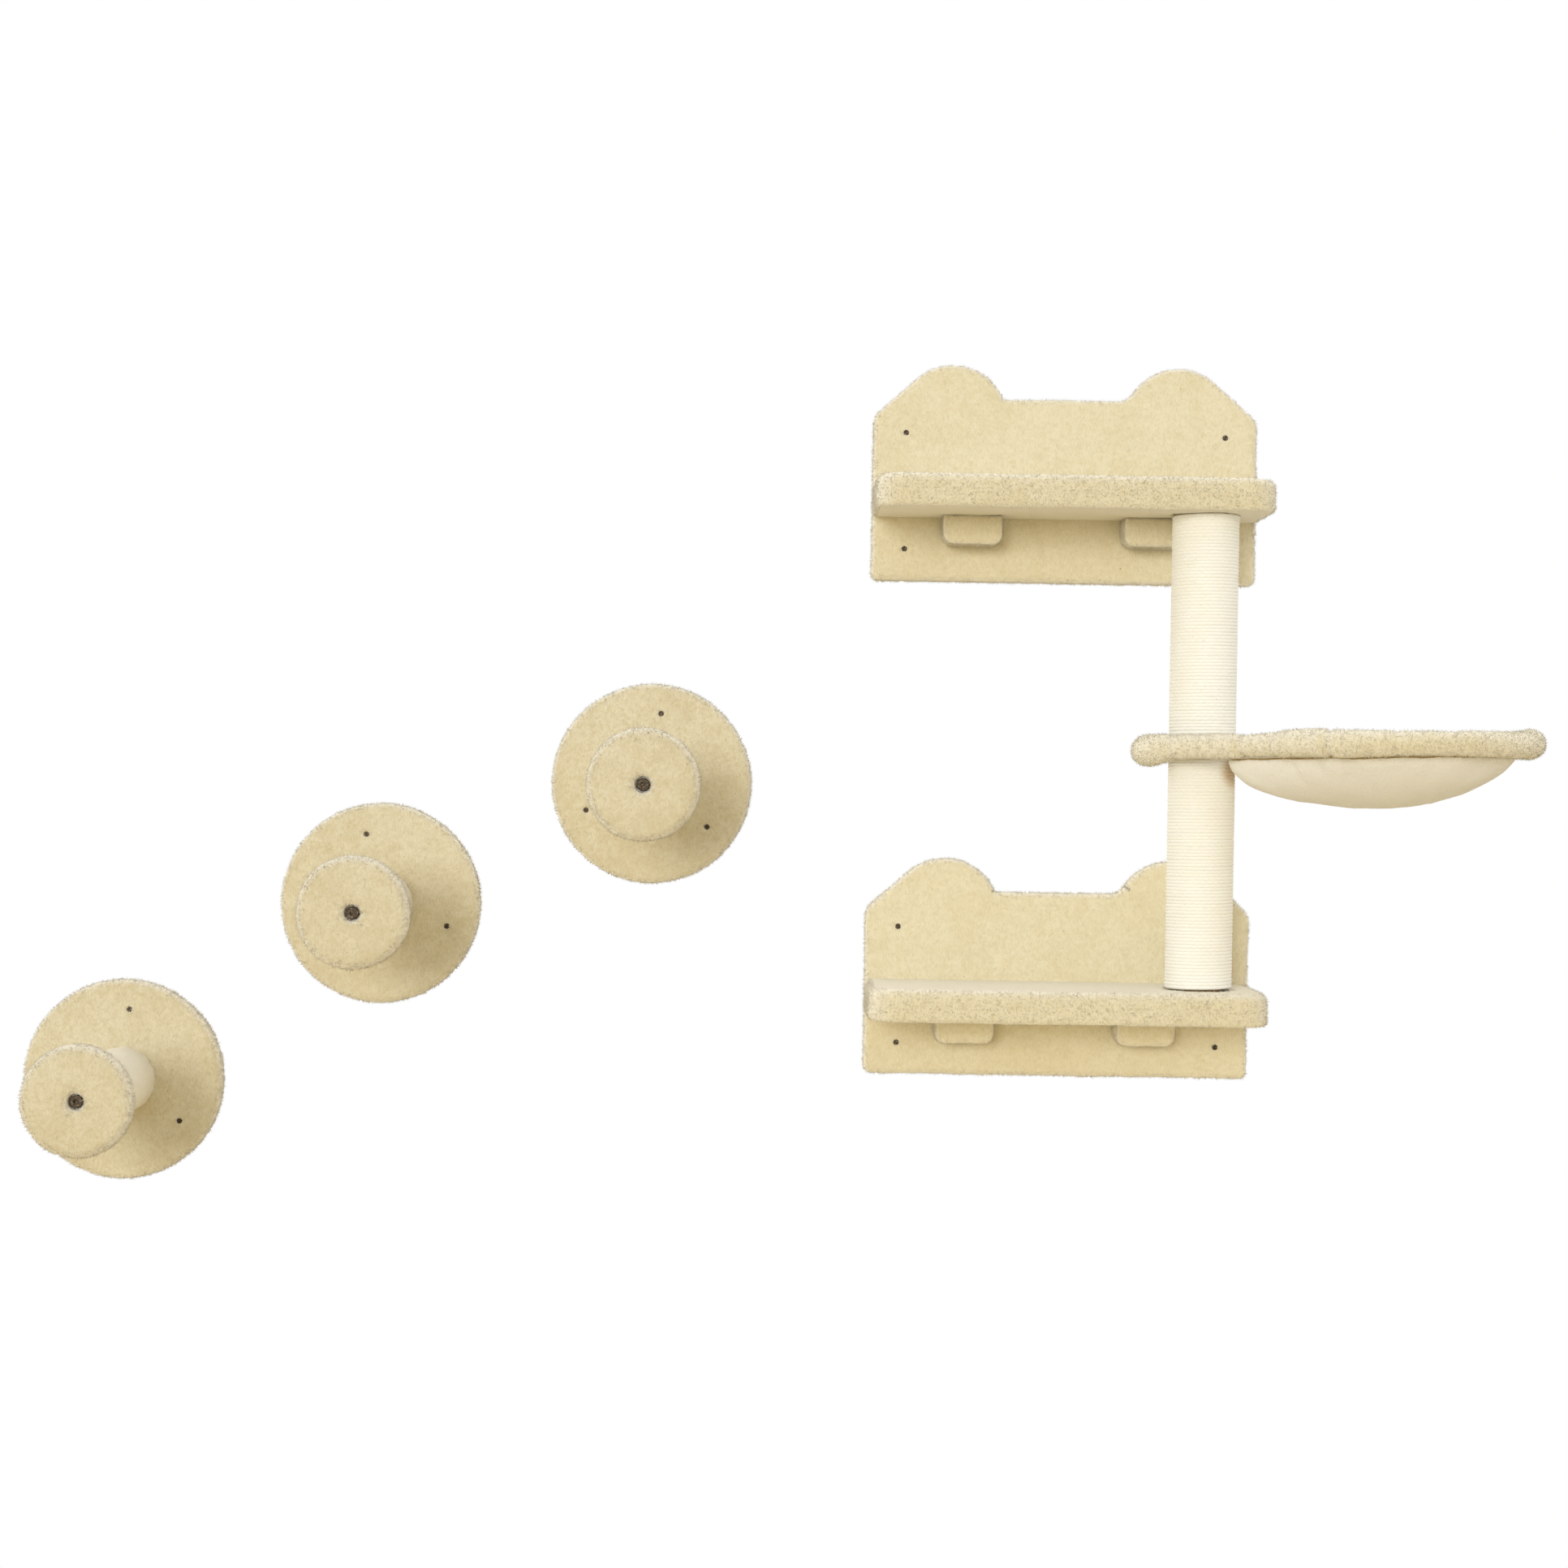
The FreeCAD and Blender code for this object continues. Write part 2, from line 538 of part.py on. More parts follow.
def bag_outline(scale, shrink, z):
    """Mouth of the bag, or a smaller section of it: straight beside the post, round at the far end."""
    small = COLLAR_RADIUS - BAG_INSET
    large = RING_RADIUS - BAG_INSET
    turn = pi / 2 + FLARE
    left = POST_DIAMETER / 2 + BAG_POST_GAP
    normal = Vec(cos(turn), sin(turn), 0)
    setback = BAG_CORNER * tan((pi / 2 - FLARE) / 2)
    side_y = (small + left * sin(FLARE)) / cos(FLARE)
    side_end = Vec(left + setback * cos(FLARE), side_y + setback * sin(FLARE), 0)
    corner = side_end - normal * BAG_CORNER
    bisector = (turn + pi) / 2
    corner_middle = corner + Vec(cos(bisector), sin(bisector), 0) * BAG_CORNER
    corner_end = corner + Vec(-BAG_CORNER, 0, 0)
    edges = [
        *ring_arcs(large, turn),
        Part.LineSegment(polar(RING_REACH, large, turn), side_end),
        Part.Arc(side_end, corner_middle, corner_end),
        Part.LineSegment(corner_end, flipped(corner_end)),
        Part.Arc(flipped(corner_end), flipped(corner_middle), flipped(side_end)),
        Part.LineSegment(flipped(side_end), polar(RING_REACH, large, -turn)),
    ]
    wire = Part.Wire([edge.toShape() for edge in edges])
    middle = (left + RING_REACH + large) / 2
    half = (RING_REACH + large - left) / 2
    factor = scale - shrink / half
    shift = FreeCAD.Matrix()
    shift.move(Vec(-middle, 0, 0))
    shift.scale(factor, factor, 1.0)
    shift.move(Vec(middle, 0, z))
    return wire.transformGeometry(shift)


def bag_solid(shrink):
    """Hanging outside of the bag; shrunk by its wall it is the inside."""
    sections = []
    for scale in BAG_SCALES:
        sag = BAG_DEPTH * (1 - scale**2) ** BAG_FULLNESS
        sections.append(bag_outline(scale, shrink, shrink - BAG_RIM_DROP - sag))
    return Part.makeLoft(sections, True, False)


def hammock_parts():
    wire = frame_sweep(WIRE_DIAMETER)
    sleeve = frame_sweep(SLEEVE_DIAMETER).cut(frame_sweep(WIRE_DIAMETER + 2 * SLEEVE_BORE_GAP))
    bag = bag_solid(0.0).cut(bag_solid(BAG_WALL))
    for tipped in (wire, sleeve, bag):
        tipped.rotate(Vec(0, 0, 0), Vec(0, 1, 0), -RING_RISE)
    sleeve = sleeve.cut(plate_solid(SLEEVE_BORE_GAP))
    eye = BOLT_DIAMETER + 2 * SWIVEL_PLAY
    plate = plate_solid(0.0).cut(rod(eye, UP * -PLATE_THICK, UP, 2 * PLATE_THICK))
    pieces = {"hammock_wire": wire, "hammock_sleeve": sleeve, "hammock_bag": bag, "hammock_plate": plate}
    for solid in pieces.values():
        solid.rotate(Vec(0, 0, 0), UP, -REST_SWING)
        solid.translate(Vec(POST_X, POST_Y, RING_Z))
    return {name: [solid] for name, solid in pieces.items()}


# ---------------------------------------------------------------- steps
def drum(diameter, back, front, edge_radius):
    """Disc between two depths from the wall, its front edge rounded."""
    disc = rod(diameter, OUT_OF_WALL * back, OUT_OF_WALL, front - back)
    return disc.makeFillet(edge_radius, edges_at(disc, lambda p: near(p.y, -front)))


def disc_screw_starts(turn):
    angles = [pi / 2 - radians(turn) + 2 * pi * k / DISC_SCREWS for k in range(DISC_SCREWS)]
    return [on_circle(Vec(0, WALL_SCREW_SINK - DISC_THICK, 0), DISC_SCREW_CIRCLE / 2, a) for a in angles]


def tee_nut(grow=0.0):
    """Flanged nut let into the back of a step's board."""
    back = OUT_OF_WALL * PLUSH
    flange = rod(TEE_FLANGE_DIAMETER + 2 * grow, back, OUT_OF_WALL, TEE_FLANGE_THICK + grow)
    barrel = rod(TEE_BARREL_DIAMETER + 2 * grow, back, OUT_OF_WALL, TEE_BARREL_LENGTH + grow)
    return flange.fuse(barrel).removeSplitter()


def cap_parts():
    cap_back = DISC_THICK + PEG_LENGTH
    cap_front = cap_back + CAP_THICK
    outer = drum(CAP_DIAMETER, cap_back, cap_front, CAP_EDGE)
    outer = outer.makeFillet(CAP_EDGE, edges_at(outer, lambda p: near(p.y, -cap_back)))
    core = drum(CAP_DIAMETER - 2 * PLUSH, cap_back + PLUSH, cap_front - PLUSH, CAP_EDGE - PLUSH)
    core = core.makeFillet(CAP_EDGE - PLUSH, edges_at(core, lambda p: near(p.y, -cap_back - PLUSH)))
    recess = rod(RECESS_DIAMETER, OUT_OF_WALL * (cap_front - RECESS_DEPTH), OUT_OF_WALL, RECESS_DEPTH)
    bore = rod(2 * BOLT_HOLE, OUT_OF_WALL * cap_back, OUT_OF_WALL, CAP_THICK)
    return core.cut([recess, bore]), outer.cut([core, recess, bore])


def step_parts(turn):
    """One step about its own centre: disc, peg and cap, held by one long bolt."""
    starts = disc_screw_starts(turn)
    centre = Vec(0, 0, 0)
    bore = rod(2 * BOLT_HOLE, centre, OUT_OF_WALL, DISC_THICK)
    core = drum(DISC_DIAMETER - 2 * PLUSH, PLUSH, DISC_THICK - PLUSH, DISC_EDGE - PLUSH)
    bare = rod(DISC_DIAMETER - 2 * (PLUSH + HEM), centre, OUT_OF_WALL, PLUSH)
    heads = [rod(WALL_SCREW_HEAD + 2 * FIT, p - INTO_WALL * PLUSH, INTO_WALL, 2 * PLUSH) for p in starts]
    shanks = [rod(WALL_SCREW_DIAMETER + 2 * FIT, p, INTO_WALL, DISC_THICK) for p in starts]
    cover = drum(DISC_DIAMETER, 0.0, DISC_THICK, DISC_EDGE).cut([core, bare, bore] + heads + shanks)
    cap, cap_cover = cap_parts()
    face = OUT_OF_WALL * DISC_THICK
    tube_outside = PEG_DIAMETER - 2 * PLUSH
    tube_bore = tube_outside - 2 * PEG_TUBE_WALL
    tube_solid = rod(tube_outside, face, OUT_OF_WALL, PEG_LENGTH)
    seat_depth = DISC_THICK + PEG_LENGTH + CAP_THICK - RECESS_DEPTH
    plug_starts = [DISC_THICK, DISC_THICK + PEG_LENGTH - PEG_PLUG_LENGTH]
    plugs = [rod(tube_bore - 2 * FIT, OUT_OF_WALL * y, OUT_OF_WALL, PEG_PLUG_LENGTH) for y in plug_starts]
    long_bore = rod(2 * BOLT_HOLE, centre, OUT_OF_WALL, seat_depth)
    bolt_seat = OUT_OF_WALL * (seat_depth + WASHER_THICK)
    return {
        "disc_board": [core.cut([bore, tee_nut(FIT)] + shanks)],
        "disc_cover": [cover],
        "peg_tube": [tube_solid.cut(rod(tube_bore, face, OUT_OF_WALL, PEG_LENGTH))],
        "peg_cover": [rod(PEG_DIAMETER, face, OUT_OF_WALL, PEG_LENGTH).cut(tube_solid)],
        "cap_board": [cap],
        "cap_cover": [cap_cover],
        "bolt": [socket_bolt(bolt_seat, INTO_WALL, seat_depth + WASHER_THICK - PLUSH)],
        "wall_screws": [wall_screw(p) for p in starts],
        "plugs": [plug.cut(long_bore) for plug in plugs],
        "tee_nut": [tee_nut().cut(long_bore)],
        "washer": [washer(OUT_OF_WALL * seat_depth, OUT_OF_WALL, RECESS_WASHER_DIAMETER)],
    }


def all_steps():
    """The steps' own nodes, and one shared node for each kind of small fitting."""
    pieces = {"step_peg_plugs": [], "step_tee_nuts": [], "step_washers": []}
    shared = {"plugs": "step_peg_plugs", "tee_nut": "step_tee_nuts", "washer": "step_washers"}
    for name, (x, z, turn) in STEP_PLACES.items():
        for piece, solids in step_parts(turn).items():
            for solid in solids:
                solid.translate(Vec(x, 0, z))
            pieces.setdefault(shared.get(piece, name + "_" + piece), []).extend(solids)
    return pieces


# ---------------------------------------------------------------- whole object
def write(name, solids):
    shape = solids[0] if len(solids) == 1 else Part.makeCompound(solids)
    if not shape.isValid():
        print("not valid:", name)
    print("%-26s solids %d  volume %.0f" % (name, len(shape.Solids), shape.Volume))
    shape.exportStep("parts/" + name + ".step")


def main():
    os.makedirs("parts", exist_ok=True)
    pieces = shelf_unit("upper", 0.0, SHELF_TOP, UP)
    pieces.update(shelf_unit("lower", PANEL_DROP, SHELF_UNDER, UP * -1))
    pieces.update(post_parts())
    pieces.update(hammock_parts())
    pieces.update(all_steps())
    for name, solids in pieces.items():
        write(name, solids)


main()
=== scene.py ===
"""Wall mounted cat tree: two plush-covered shelf units joined by a rope-wound post with a ring
hammock, and three separate round steps.  Metres; +X right, +Y into the wall, +Z up, with the
origin at the centre of the upper panel's four wall screws, on the wall plane."""

import json
from math import asin, atan2, ceil, cos, dist, exp, hypot, pi, radians, sin, sqrt, tan
from random import Random

import bpy
import numpy as np
from mathutils import Matrix, Vector, noise
from mathutils.geometry import delaunay_2d_cdt


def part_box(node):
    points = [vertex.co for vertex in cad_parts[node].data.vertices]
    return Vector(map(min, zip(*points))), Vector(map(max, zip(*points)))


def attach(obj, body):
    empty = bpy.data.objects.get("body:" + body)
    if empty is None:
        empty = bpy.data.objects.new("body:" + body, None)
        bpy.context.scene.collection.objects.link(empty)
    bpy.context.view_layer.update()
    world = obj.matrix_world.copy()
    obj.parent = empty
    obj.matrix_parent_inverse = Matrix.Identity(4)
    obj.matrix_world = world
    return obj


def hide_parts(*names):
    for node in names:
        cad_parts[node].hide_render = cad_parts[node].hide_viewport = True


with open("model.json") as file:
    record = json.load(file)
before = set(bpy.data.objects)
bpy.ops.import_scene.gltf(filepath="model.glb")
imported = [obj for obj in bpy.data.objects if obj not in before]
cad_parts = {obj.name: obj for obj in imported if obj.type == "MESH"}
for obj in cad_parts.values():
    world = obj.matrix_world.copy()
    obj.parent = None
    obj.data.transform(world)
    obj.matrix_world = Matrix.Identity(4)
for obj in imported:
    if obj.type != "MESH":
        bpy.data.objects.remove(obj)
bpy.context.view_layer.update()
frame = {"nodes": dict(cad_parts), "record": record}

MM = 0.001

# ---------------------------------------------------------------- sizes
PLUSH = 2.5 * MM  # plush over a board
HEM = 25 * MM  # plush folded onto the back of a wall board
PANEL_LOW, PANEL_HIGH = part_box("upper_panel_cover")
PANEL_HALF = PANEL_HIGH.x
PANEL_THICK = -PANEL_LOW.y
PANEL_BELOW = -PANEL_LOW.z
PANEL_ABOVE = 97 * MM  # top edge between the ears
PANEL_CORNER = 7 * MM
PANEL_EDGE = 6 * MM
PANEL_DROP = -515 * MM  # from the upper panel to the lower one
EAR_X = 118 * MM
EAR_RADIUS = 57 * MM
EAR_Z = PANEL_HIGH.z - EAR_RADIUS
EAR_SLOPE = radians(41.5)
EAR_FOOT_LEFT = 4 * MM  # plush pulled tight into the notch
EAR_FOOT_RIGHT = 20 * MM  # plush bridging the notch
SHOULDER = 20 * MM
SCREW_X = 166.5 * MM
SCREW_Z = 60.5 * MM
SHELF_LOW, SHELF_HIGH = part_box("upper_shelf_cover")
SHELF_CORNER = 30 * MM
SHELF_EDGE = 10 * MM  # upper edge
SHELF_LOWER_EDGE = 5 * MM
BLOCK_PLACES = (-98 * MM, 89 * MM)
BLOCK_WIDTH = 60 * MM
BLOCK_CORNER = 10 * MM
BLOCK_TOP_CORNER = 2 * MM
BLOCK_EDGE = 4 * MM
BLOCK_LOW, BLOCK_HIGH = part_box("upper_block_covers")

ROPE_TURNS = 70  # per half of the post
ROPE_POINTS = 60  # in one turn
ROPE_SIDES = 8
ROPE_THICK = 0.6  # of the pitch, so that the turns press together
ROPE_WANDER = 0.10  # of the pitch
ROPE_FAT = 0.07  # change of the rope's own thickness
ROPE_LOOSE = 0.15 * MM
POST_LOW, POST_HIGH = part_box("upper_post_rope")
POST = (POST_LOW + POST_HIGH) / 2
POST_RADIUS = (POST_HIGH.x - POST_LOW.x) / 2

RING_RADIUS = 134 * MM
COLLAR_RADIUS = 55 * MM
RING_REACH = 189 * MM
RING_RISE = radians(1.5)
REST_SWING = radians(20)
SLEEVE_RADIUS = 13.5 * MM
SLEEVE_LIFT = 4.7 * MM  # the sleeve's padding is thicker over the wire than under it
BAG_DEPTH = 53 * MM
BAG_WALL = 3 * MM
BAG_INSET = 10.5 * MM
BAG_RIM_DROP = 9 * MM
BAG_CORNER = 24 * MM
BAG_FULLNESS = 0.66
BAG_POST_FULLNESS = 0.22  # the bag hangs fuller beside the post
BAG_POST_GAP = 2 * MM
FLARE = asin((RING_RADIUS - COLLAR_RADIUS) / RING_REACH)

STEPS = {"step_1": radians(5), "step_2": radians(-12), "step_3": radians(7)}  # turn of the screws
DISC_RADIUS = 103.5 * MM
DISC_THICK = 20 * MM
SCREW_CIRCLE = 73.5 * MM
PEG_RADIUS = 34 * MM
CAP_RADIUS = 55.5 * MM
CAP_EDGE = 10 * MM  # plush rolls right over the edge
RECESS_RADIUS = 8.5 * MM
RECESS_DEPTH = 10.6 * MM

TIGHT = 0.6 * MM  # radius left where a corner is inset past its own rounding
STEP = 3 * MM  # spacing of points along an outline
NET = 3.6 * MM  # spacing of points on a flat face
ROUND_STEPS = 5  # rows over a rounded edge
QUARTER = [pi / 2 * k / ROUND_STEPS for k in range(ROUND_STEPS + 1)]


# ---------------------------------------------------------------- camera and light
PHOTO_PIXELS = 1932
FOCAL_PIXELS = 3461
VANISHING_PIXEL = 945  # both ways, where the wall's normals meet
CAMERA_PLACE = Vector((-0.306, -2.950, -0.2904))
CAMERA_ROLL = radians(0.95)
SENSOR = 36.0


def put(name, data):
    """An object for the data, in the scene."""
    made = bpy.data.objects.new(name, data)
    bpy.context.scene.collection.objects.link(made)
    return made


def place_camera():
    off_centre = (PHOTO_PIXELS / 2 - VANISHING_PIXEL) / FOCAL_PIXELS
    ahead = Vector((0, 1, 0))
    right = Vector((cos(CAMERA_ROLL), 0, sin(CAMERA_ROLL)))
    up = Vector((-sin(CAMERA_ROLL), 0, cos(CAMERA_ROLL)))
    aim = ahead + (right - up) * off_centre
    columns = (right - ahead * off_centre, up + ahead * off_centre, -aim)
    turn = Matrix([column.normalized() for column in columns]).transposed()
    camera = put("camera", bpy.data.cameras.new("camera"))
    camera.data.sensor_width = SENSOR
    camera.data.lens = SENSOR * FOCAL_PIXELS / PHOTO_PIXELS
    camera.matrix_world = Matrix.Translation(CAMERA_PLACE) @ turn.to_4x4()
    bpy.context.scene.camera = camera


# soft key light from the upper left: metres to the right, back and down along its way
KEY_WAY = Vector((0.28, 1.0, -0.17))
KEY_SOFTNESS = radians(18)
KEY_STRENGTH = 1.32
KEY_DISTANCE = 3


def place_key():
    lamp = bpy.data.lights.new("key", "SUN")
    lamp.energy = KEY_STRENGTH
    lamp.angle = KEY_SOFTNESS
    lamp.color = linear("#FFFDF6")[:3]
    holder = put("key", lamp)
    holder.location = -KEY_DISTANCE * KEY_WAY
    holder.rotation_euler = KEY_WAY.to_track_quat("-Z", "Y").to_euler()


# ---------------------------------------------------------------- materials
def linear(code):
    """Colour of an sRGB hex code, as linear red, green, blue and alpha."""
    shares = [int(code[i : i + 2], 16) / 255 for i in (1, 3, 5)]
    return [s / 12.92 if s <= 0.04045 else ((s + 0.055) / 1.055) ** 2.4 for s in shares] + [1.0]


def add(tree, kind, inputs=(), **settings):
    """One node of a kind with its settings and its inputs, by name or in their order, which for MapRange
    is value, from, from, to, to.  An input is a value, a socket, or a node for its first output."""
    made = tree.nodes.new("ShaderNode" + kind)
    for name, value in settings.items():
        setattr(made, name, value)
    for name, value in inputs.items() if isinstance(inputs, dict) else enumerate(inputs):
        if isinstance(value, bpy.types.Node):
            value = value.outputs[0]
        if isinstance(value, bpy.types.NodeSocket):
            tree.links.new(value, made.inputs[name])
        else:
            made.inputs[name].default_value = value
    return made


def empty_tree(owner):
    owner.use_nodes = True
    owner.node_tree.nodes.clear()
    return owner.node_tree


def new_material(name):
    """A material, its tree, and the place on the object that its patterns follow."""
    material = bpy.data.materials.new(name)
    tree = empty_tree(material)
    return material, tree, add(tree, "TexCoord").outputs["Object"]


def dress(material, tree, base, stains, height, relief, surface):
    """Lays the stains, each a share and a colour, over the base and adds relief, shader and output."""
    colour = linear(base)
    for share, stain in stains:
        laid = add(tree, "Mix", {0: share, 6: colour, 7: linear(stain)}, data_type="RGBA")
        colour = laid.outputs[2]
    bump = add(tree, "Bump", {"Height": height, "Distance": relief, "Strength": 1.0})
    shader = add(tree, "BsdfPrincipled", {"Base Color": colour, "Normal": bump, **surface})
    add(tree, "OutputMaterial", {"Surface": shader})
    return material


PILE_TUFT = 1.7 * MM  # a bundle of pile tips; single 0.03 mm fibres are too fine to show
PILE_CLUMP = 4.5 * MM
PILE_STROKE = 16 * MM  # marks left by a hand
PILE_CLOUD = 70 * MM
MOTE_SPACING = 21 * MM
MOTE_SIZE = 0.022  # of the spacing
MOTE_BROWN = "#6E5C3C"
PLUSH_SURFACE = {
    "Roughness": 0.95, "IOR": 1.5, "Specular IOR Level": 0.15,
    "Sheen Weight": 0.8, "Sheen Roughness": 0.35, "Sheen Tint": linear("#FFFAEC")}


def plush(name, tips, roots, rim_highlight, depth, parted, stroked, mote):
    """Sheared polyester plush, knitted and brushed: matt and soft, with a grain of pile tips, duller
    clouds where the nap is pushed over, deeper colour between tufts and a few caught dark motes.  Where
    its surface faces away from the front, on rounded edges, sides and tops, it is painted paler: a
    painted highlight that stands in for the bright rim of light round the pile."""
    material, tree, place = new_material(name)
    combed = add(tree, "Mapping", {"Vector": place, "Scale": (1.0, 1.0, 0.5)})
    tuft = add(tree, "TexNoise", {
        "Vector": combed, "Scale": 1 / PILE_TUFT, "Detail": 4.0, "Roughness": 0.7})
    clump = add(tree, "TexNoise", {"Vector": place, "Scale": 1 / PILE_CLUMP, "Detail": 2.0})
    stroke = add(tree, "TexNoise", {
        "Vector": place, "Scale": 1 / PILE_STROKE, "Detail": 3.0, "Distortion": 0.8})
    cloud = add(tree, "TexNoise", {"Vector": place, "Scale": 1 / PILE_CLOUD, "Detail": 2.0})
    height = add(tree, "Math", [clump, 0.5, tuft], operation="MULTIPLY_ADD")
    worn = add(tree, "Math", [stroke, cloud], operation="ADD")
    between = add(tree, "MapRange", [height, 0.53, 0.86, parted, 0.0])
    pushed = add(tree, "MapRange", [worn, 0.9, 1.2, 0.0, stroked])
    # painted highlight: paler colour where the surface faces away from the front axis, for the rim light on
    # the pile
    facing = add(tree, "SeparateXYZ", [add(tree, "TexCoord").outputs["Normal"]])
    ahead = add(tree, "Math", [facing.outputs[1]], operation="ABSOLUTE")
    painted_rim_highlight = add(tree, "MapRange", [ahead, 0.5, 0.97, 0.75, 0.0])
    motes = add(tree, "TexVoronoi", {"Vector": place, "Scale": 1 / MOTE_SPACING})
    speck = add(tree, "MapRange", [motes.outputs["Distance"], MOTE_SIZE, 1.5 * MOTE_SIZE, mote, 0.0])
    stains = [(between, roots), (pushed, roots), (painted_rim_highlight, rim_highlight),
              (speck, MOTE_BROWN)]
    return dress(material, tree, tips, stains, height, depth, PLUSH_SURFACE)


ROPE_LAY = 7 * MM  # one twist of the rope's two strands
SISAL_FIBRE = 0.9 * MM  # a few fibres together; one of 0.2 mm is too fine to show
SISAL_LENGTH = 24 * MM
BARK_SPACING = 13 * MM
RUB = Vector((0.163, -0.121, -0.287))  # where the sleeve rubs the winding brown
RUB_SIZE = 18 * MM


def sisal():
    """Bleached sisal, laid from two strands: dry, nearly white, with stiff yellower fibres, tiny brown
    ends of bark and a browned patch where the hammock's sleeve rubs."""
    material, tree, place = new_material("laid_sisal")
    along = add(tree, "Attribute", attribute_name="along").outputs["Fac"]
    around = add(tree, "Attribute", attribute_name="around").outputs["Fac"]
    twist = add(tree, "Math", [along, 2 * pi / ROPE_LAY, around], operation="MULTIPLY_ADD")
    strands = add(tree, "Math", [twist], operation="SINE")
    fibre = add(tree, "TexNoise", {
        "Vector": place, "Scale": 1 / SISAL_FIBRE, "Detail": 4.0, "Roughness": 0.7})
    length = add(tree, "TexNoise", {
        "Vector": place, "Scale": 1 / SISAL_LENGTH, "Detail": 3.0, "Roughness": 0.6})
    dry = add(tree, "MapRange", [fibre, 0.3, 0.6, 0.3, 0.0])
    tinted = add(tree, "MapRange", [length, 0.45, 0.62, 0.0, 0.4])
    flattened = add(tree, "Mapping", {"Vector": place, "Scale": (1.0, 1.0, 3.0)})
    bark = add(tree, "TexVoronoi", {"Vector": flattened, "Scale": 1 / BARK_SPACING})
    speck = add(tree, "MapRange", [bark.outputs["Distance"], 0.04, 0.08, 0.6, 0.0])
    away = add(tree, "VectorMath", [place, RUB], operation="DISTANCE")
    ragged = add(tree, "Math", [fibre, -RUB_SIZE, away.outputs["Value"]], operation="MULTIPLY_ADD")
    rubbed = add(tree, "MapRange", [ragged, 0.0, 0.6 * RUB_SIZE, 0.65, 0.0])
    height = add(tree, "Math", [strands, 0.35, fibre], operation="MULTIPLY_ADD")
    stains = [(dry, "#EDE8DA"), (tinted, "#F5F3EB"), (speck, "#A08858"),
              (rubbed, "#BE985C")]
    surface = {"Roughness": 0.85, "IOR": 1.5, "Specular IOR Level": 0.25, "Sheen Weight": 0.1}
    return dress(material, tree, "#F9F9F5", stains, height, 0.25 * MM, surface)


SEAM_SHADOW_TWIST = 0.8 * MM


def seam_shadow_thread():
    """Tan overlock stitching, darkened into a painted shadow where the bag comes out from under the sleeve: a
    dull soft line with a fine twist.
    """
    material, tree, place = new_material("seam_shadow_thread")
    twist = add(tree, "TexNoise", {"Vector": place, "Scale": 1 / SEAM_SHADOW_TWIST, "Detail": 2.0})
    surface = {"Roughness": 0.85, "Sheen Weight": 0.2}
    return dress(material, tree, "#8F7444", [(twist, "#C4AC7C")], twist, 0.3 * MM, surface)


FELT_FLOCK = 1.4 * MM  # flocks of wood fibre; single 0.05 mm fibres are too fine to show
FELT_CLOUD = 24 * MM


def fibreboard():
    """Medium density fibreboard, sawn and unfinished: matt brown, finely felted, a little fluffy."""
    material, tree, place = new_material("sawn_fibreboard")
    felt = add(tree, "TexNoise", {"Vector": place, "Scale": 1 / FELT_FLOCK, "Detail": 6.0, "Roughness": 0.75})
    cloud = add(tree, "TexNoise", {"Vector": place, "Scale": 1 / FELT_CLOUD, "Detail": 2.0})
    pale = add(tree, "MapRange", [felt, 0.3, 0.7])
    dark = add(tree, "MapRange", [cloud, 0.35, 0.7, 0.0, 0.35])
    stains = [(pale, "#BE9868"), (dark, "#8B6640")]
    surface = {"Roughness": 0.8, "IOR": 1.5}
    return dress(material, tree, "#9A744A", stains, felt, 0.12 * MM, surface)


CHIP = 3.5 * MM


def chipboard():
    """Pressed wood chips in glue, raw: flat flakes of several browns."""
    material, tree, place = new_material("pressed_chipboard")
    flakes = add(tree, "TexVoronoi", {"Vector": place, "Scale": 1 / CHIP})
    tint = add(tree, "SeparateColor", [flakes.outputs["Color"]])
    surface = {"Roughness": 0.75, "IOR": 1.5}
    return dress(material, tree, "#A07E50", [(tint, "#C9A878")], tint, 0.2 * MM, surface)


PINE_RING = 22 * MM
PINE_CLOUD = 30 * MM


def sawn_pine():
    """Sawn pine, unfinished: pale wood with darker late-wood lines a few millimetres apart."""
    material, tree, place = new_material("sawn_pine")
    grain = add(tree, "Mapping", {"Vector": place, "Scale": (1.0, 0.08, 1.0)})
    wander = add(tree, "TexNoise", {"Vector": grain, "Scale": 1 / PINE_CLOUD, "Detail": 2.0})
    rings = add(tree, "TexWave", {"Vector": grain, "Scale": 1 / PINE_RING, "Distortion": 3.0})
    late = add(tree, "MapRange", [rings.outputs["Fac"], 0.2, 0.9])
    shade = add(tree, "MapRange", [wander, 0.3, 0.7, 0.0, 0.3])
    stains = [(late, "#B98A4E"), (shade, "#C79B60")]
    surface = {"Roughness": 0.65, "IOR": 1.5}
    return dress(material, tree, "#DDB87F", stains, rings.outputs["Fac"], 0.1 * MM, surface)


PULP_FLECK = 1.1 * MM


def wound_paper():
    """Spirally wound kraft paper tube: smooth, grey-brown, with fine pulp flecks."""
    material, tree, place = new_material("wound_paper")
    pulp = add(tree, "TexNoise", {"Vector": place, "Scale": 1 / PULP_FLECK, "Detail": 4.0, "Roughness": 0.7})
    pale = add(tree, "MapRange", [pulp, 0.3, 0.7])
    surface = {"Roughness": 0.7, "IOR": 1.5}
    return dress(material, tree, "#8C6F4A", [(pale, "#A98A60")], pulp, 0.05 * MM, surface)


ZINC_BLOOM = 5 * MM
ZINC_SCRATCH = 0.5 * MM


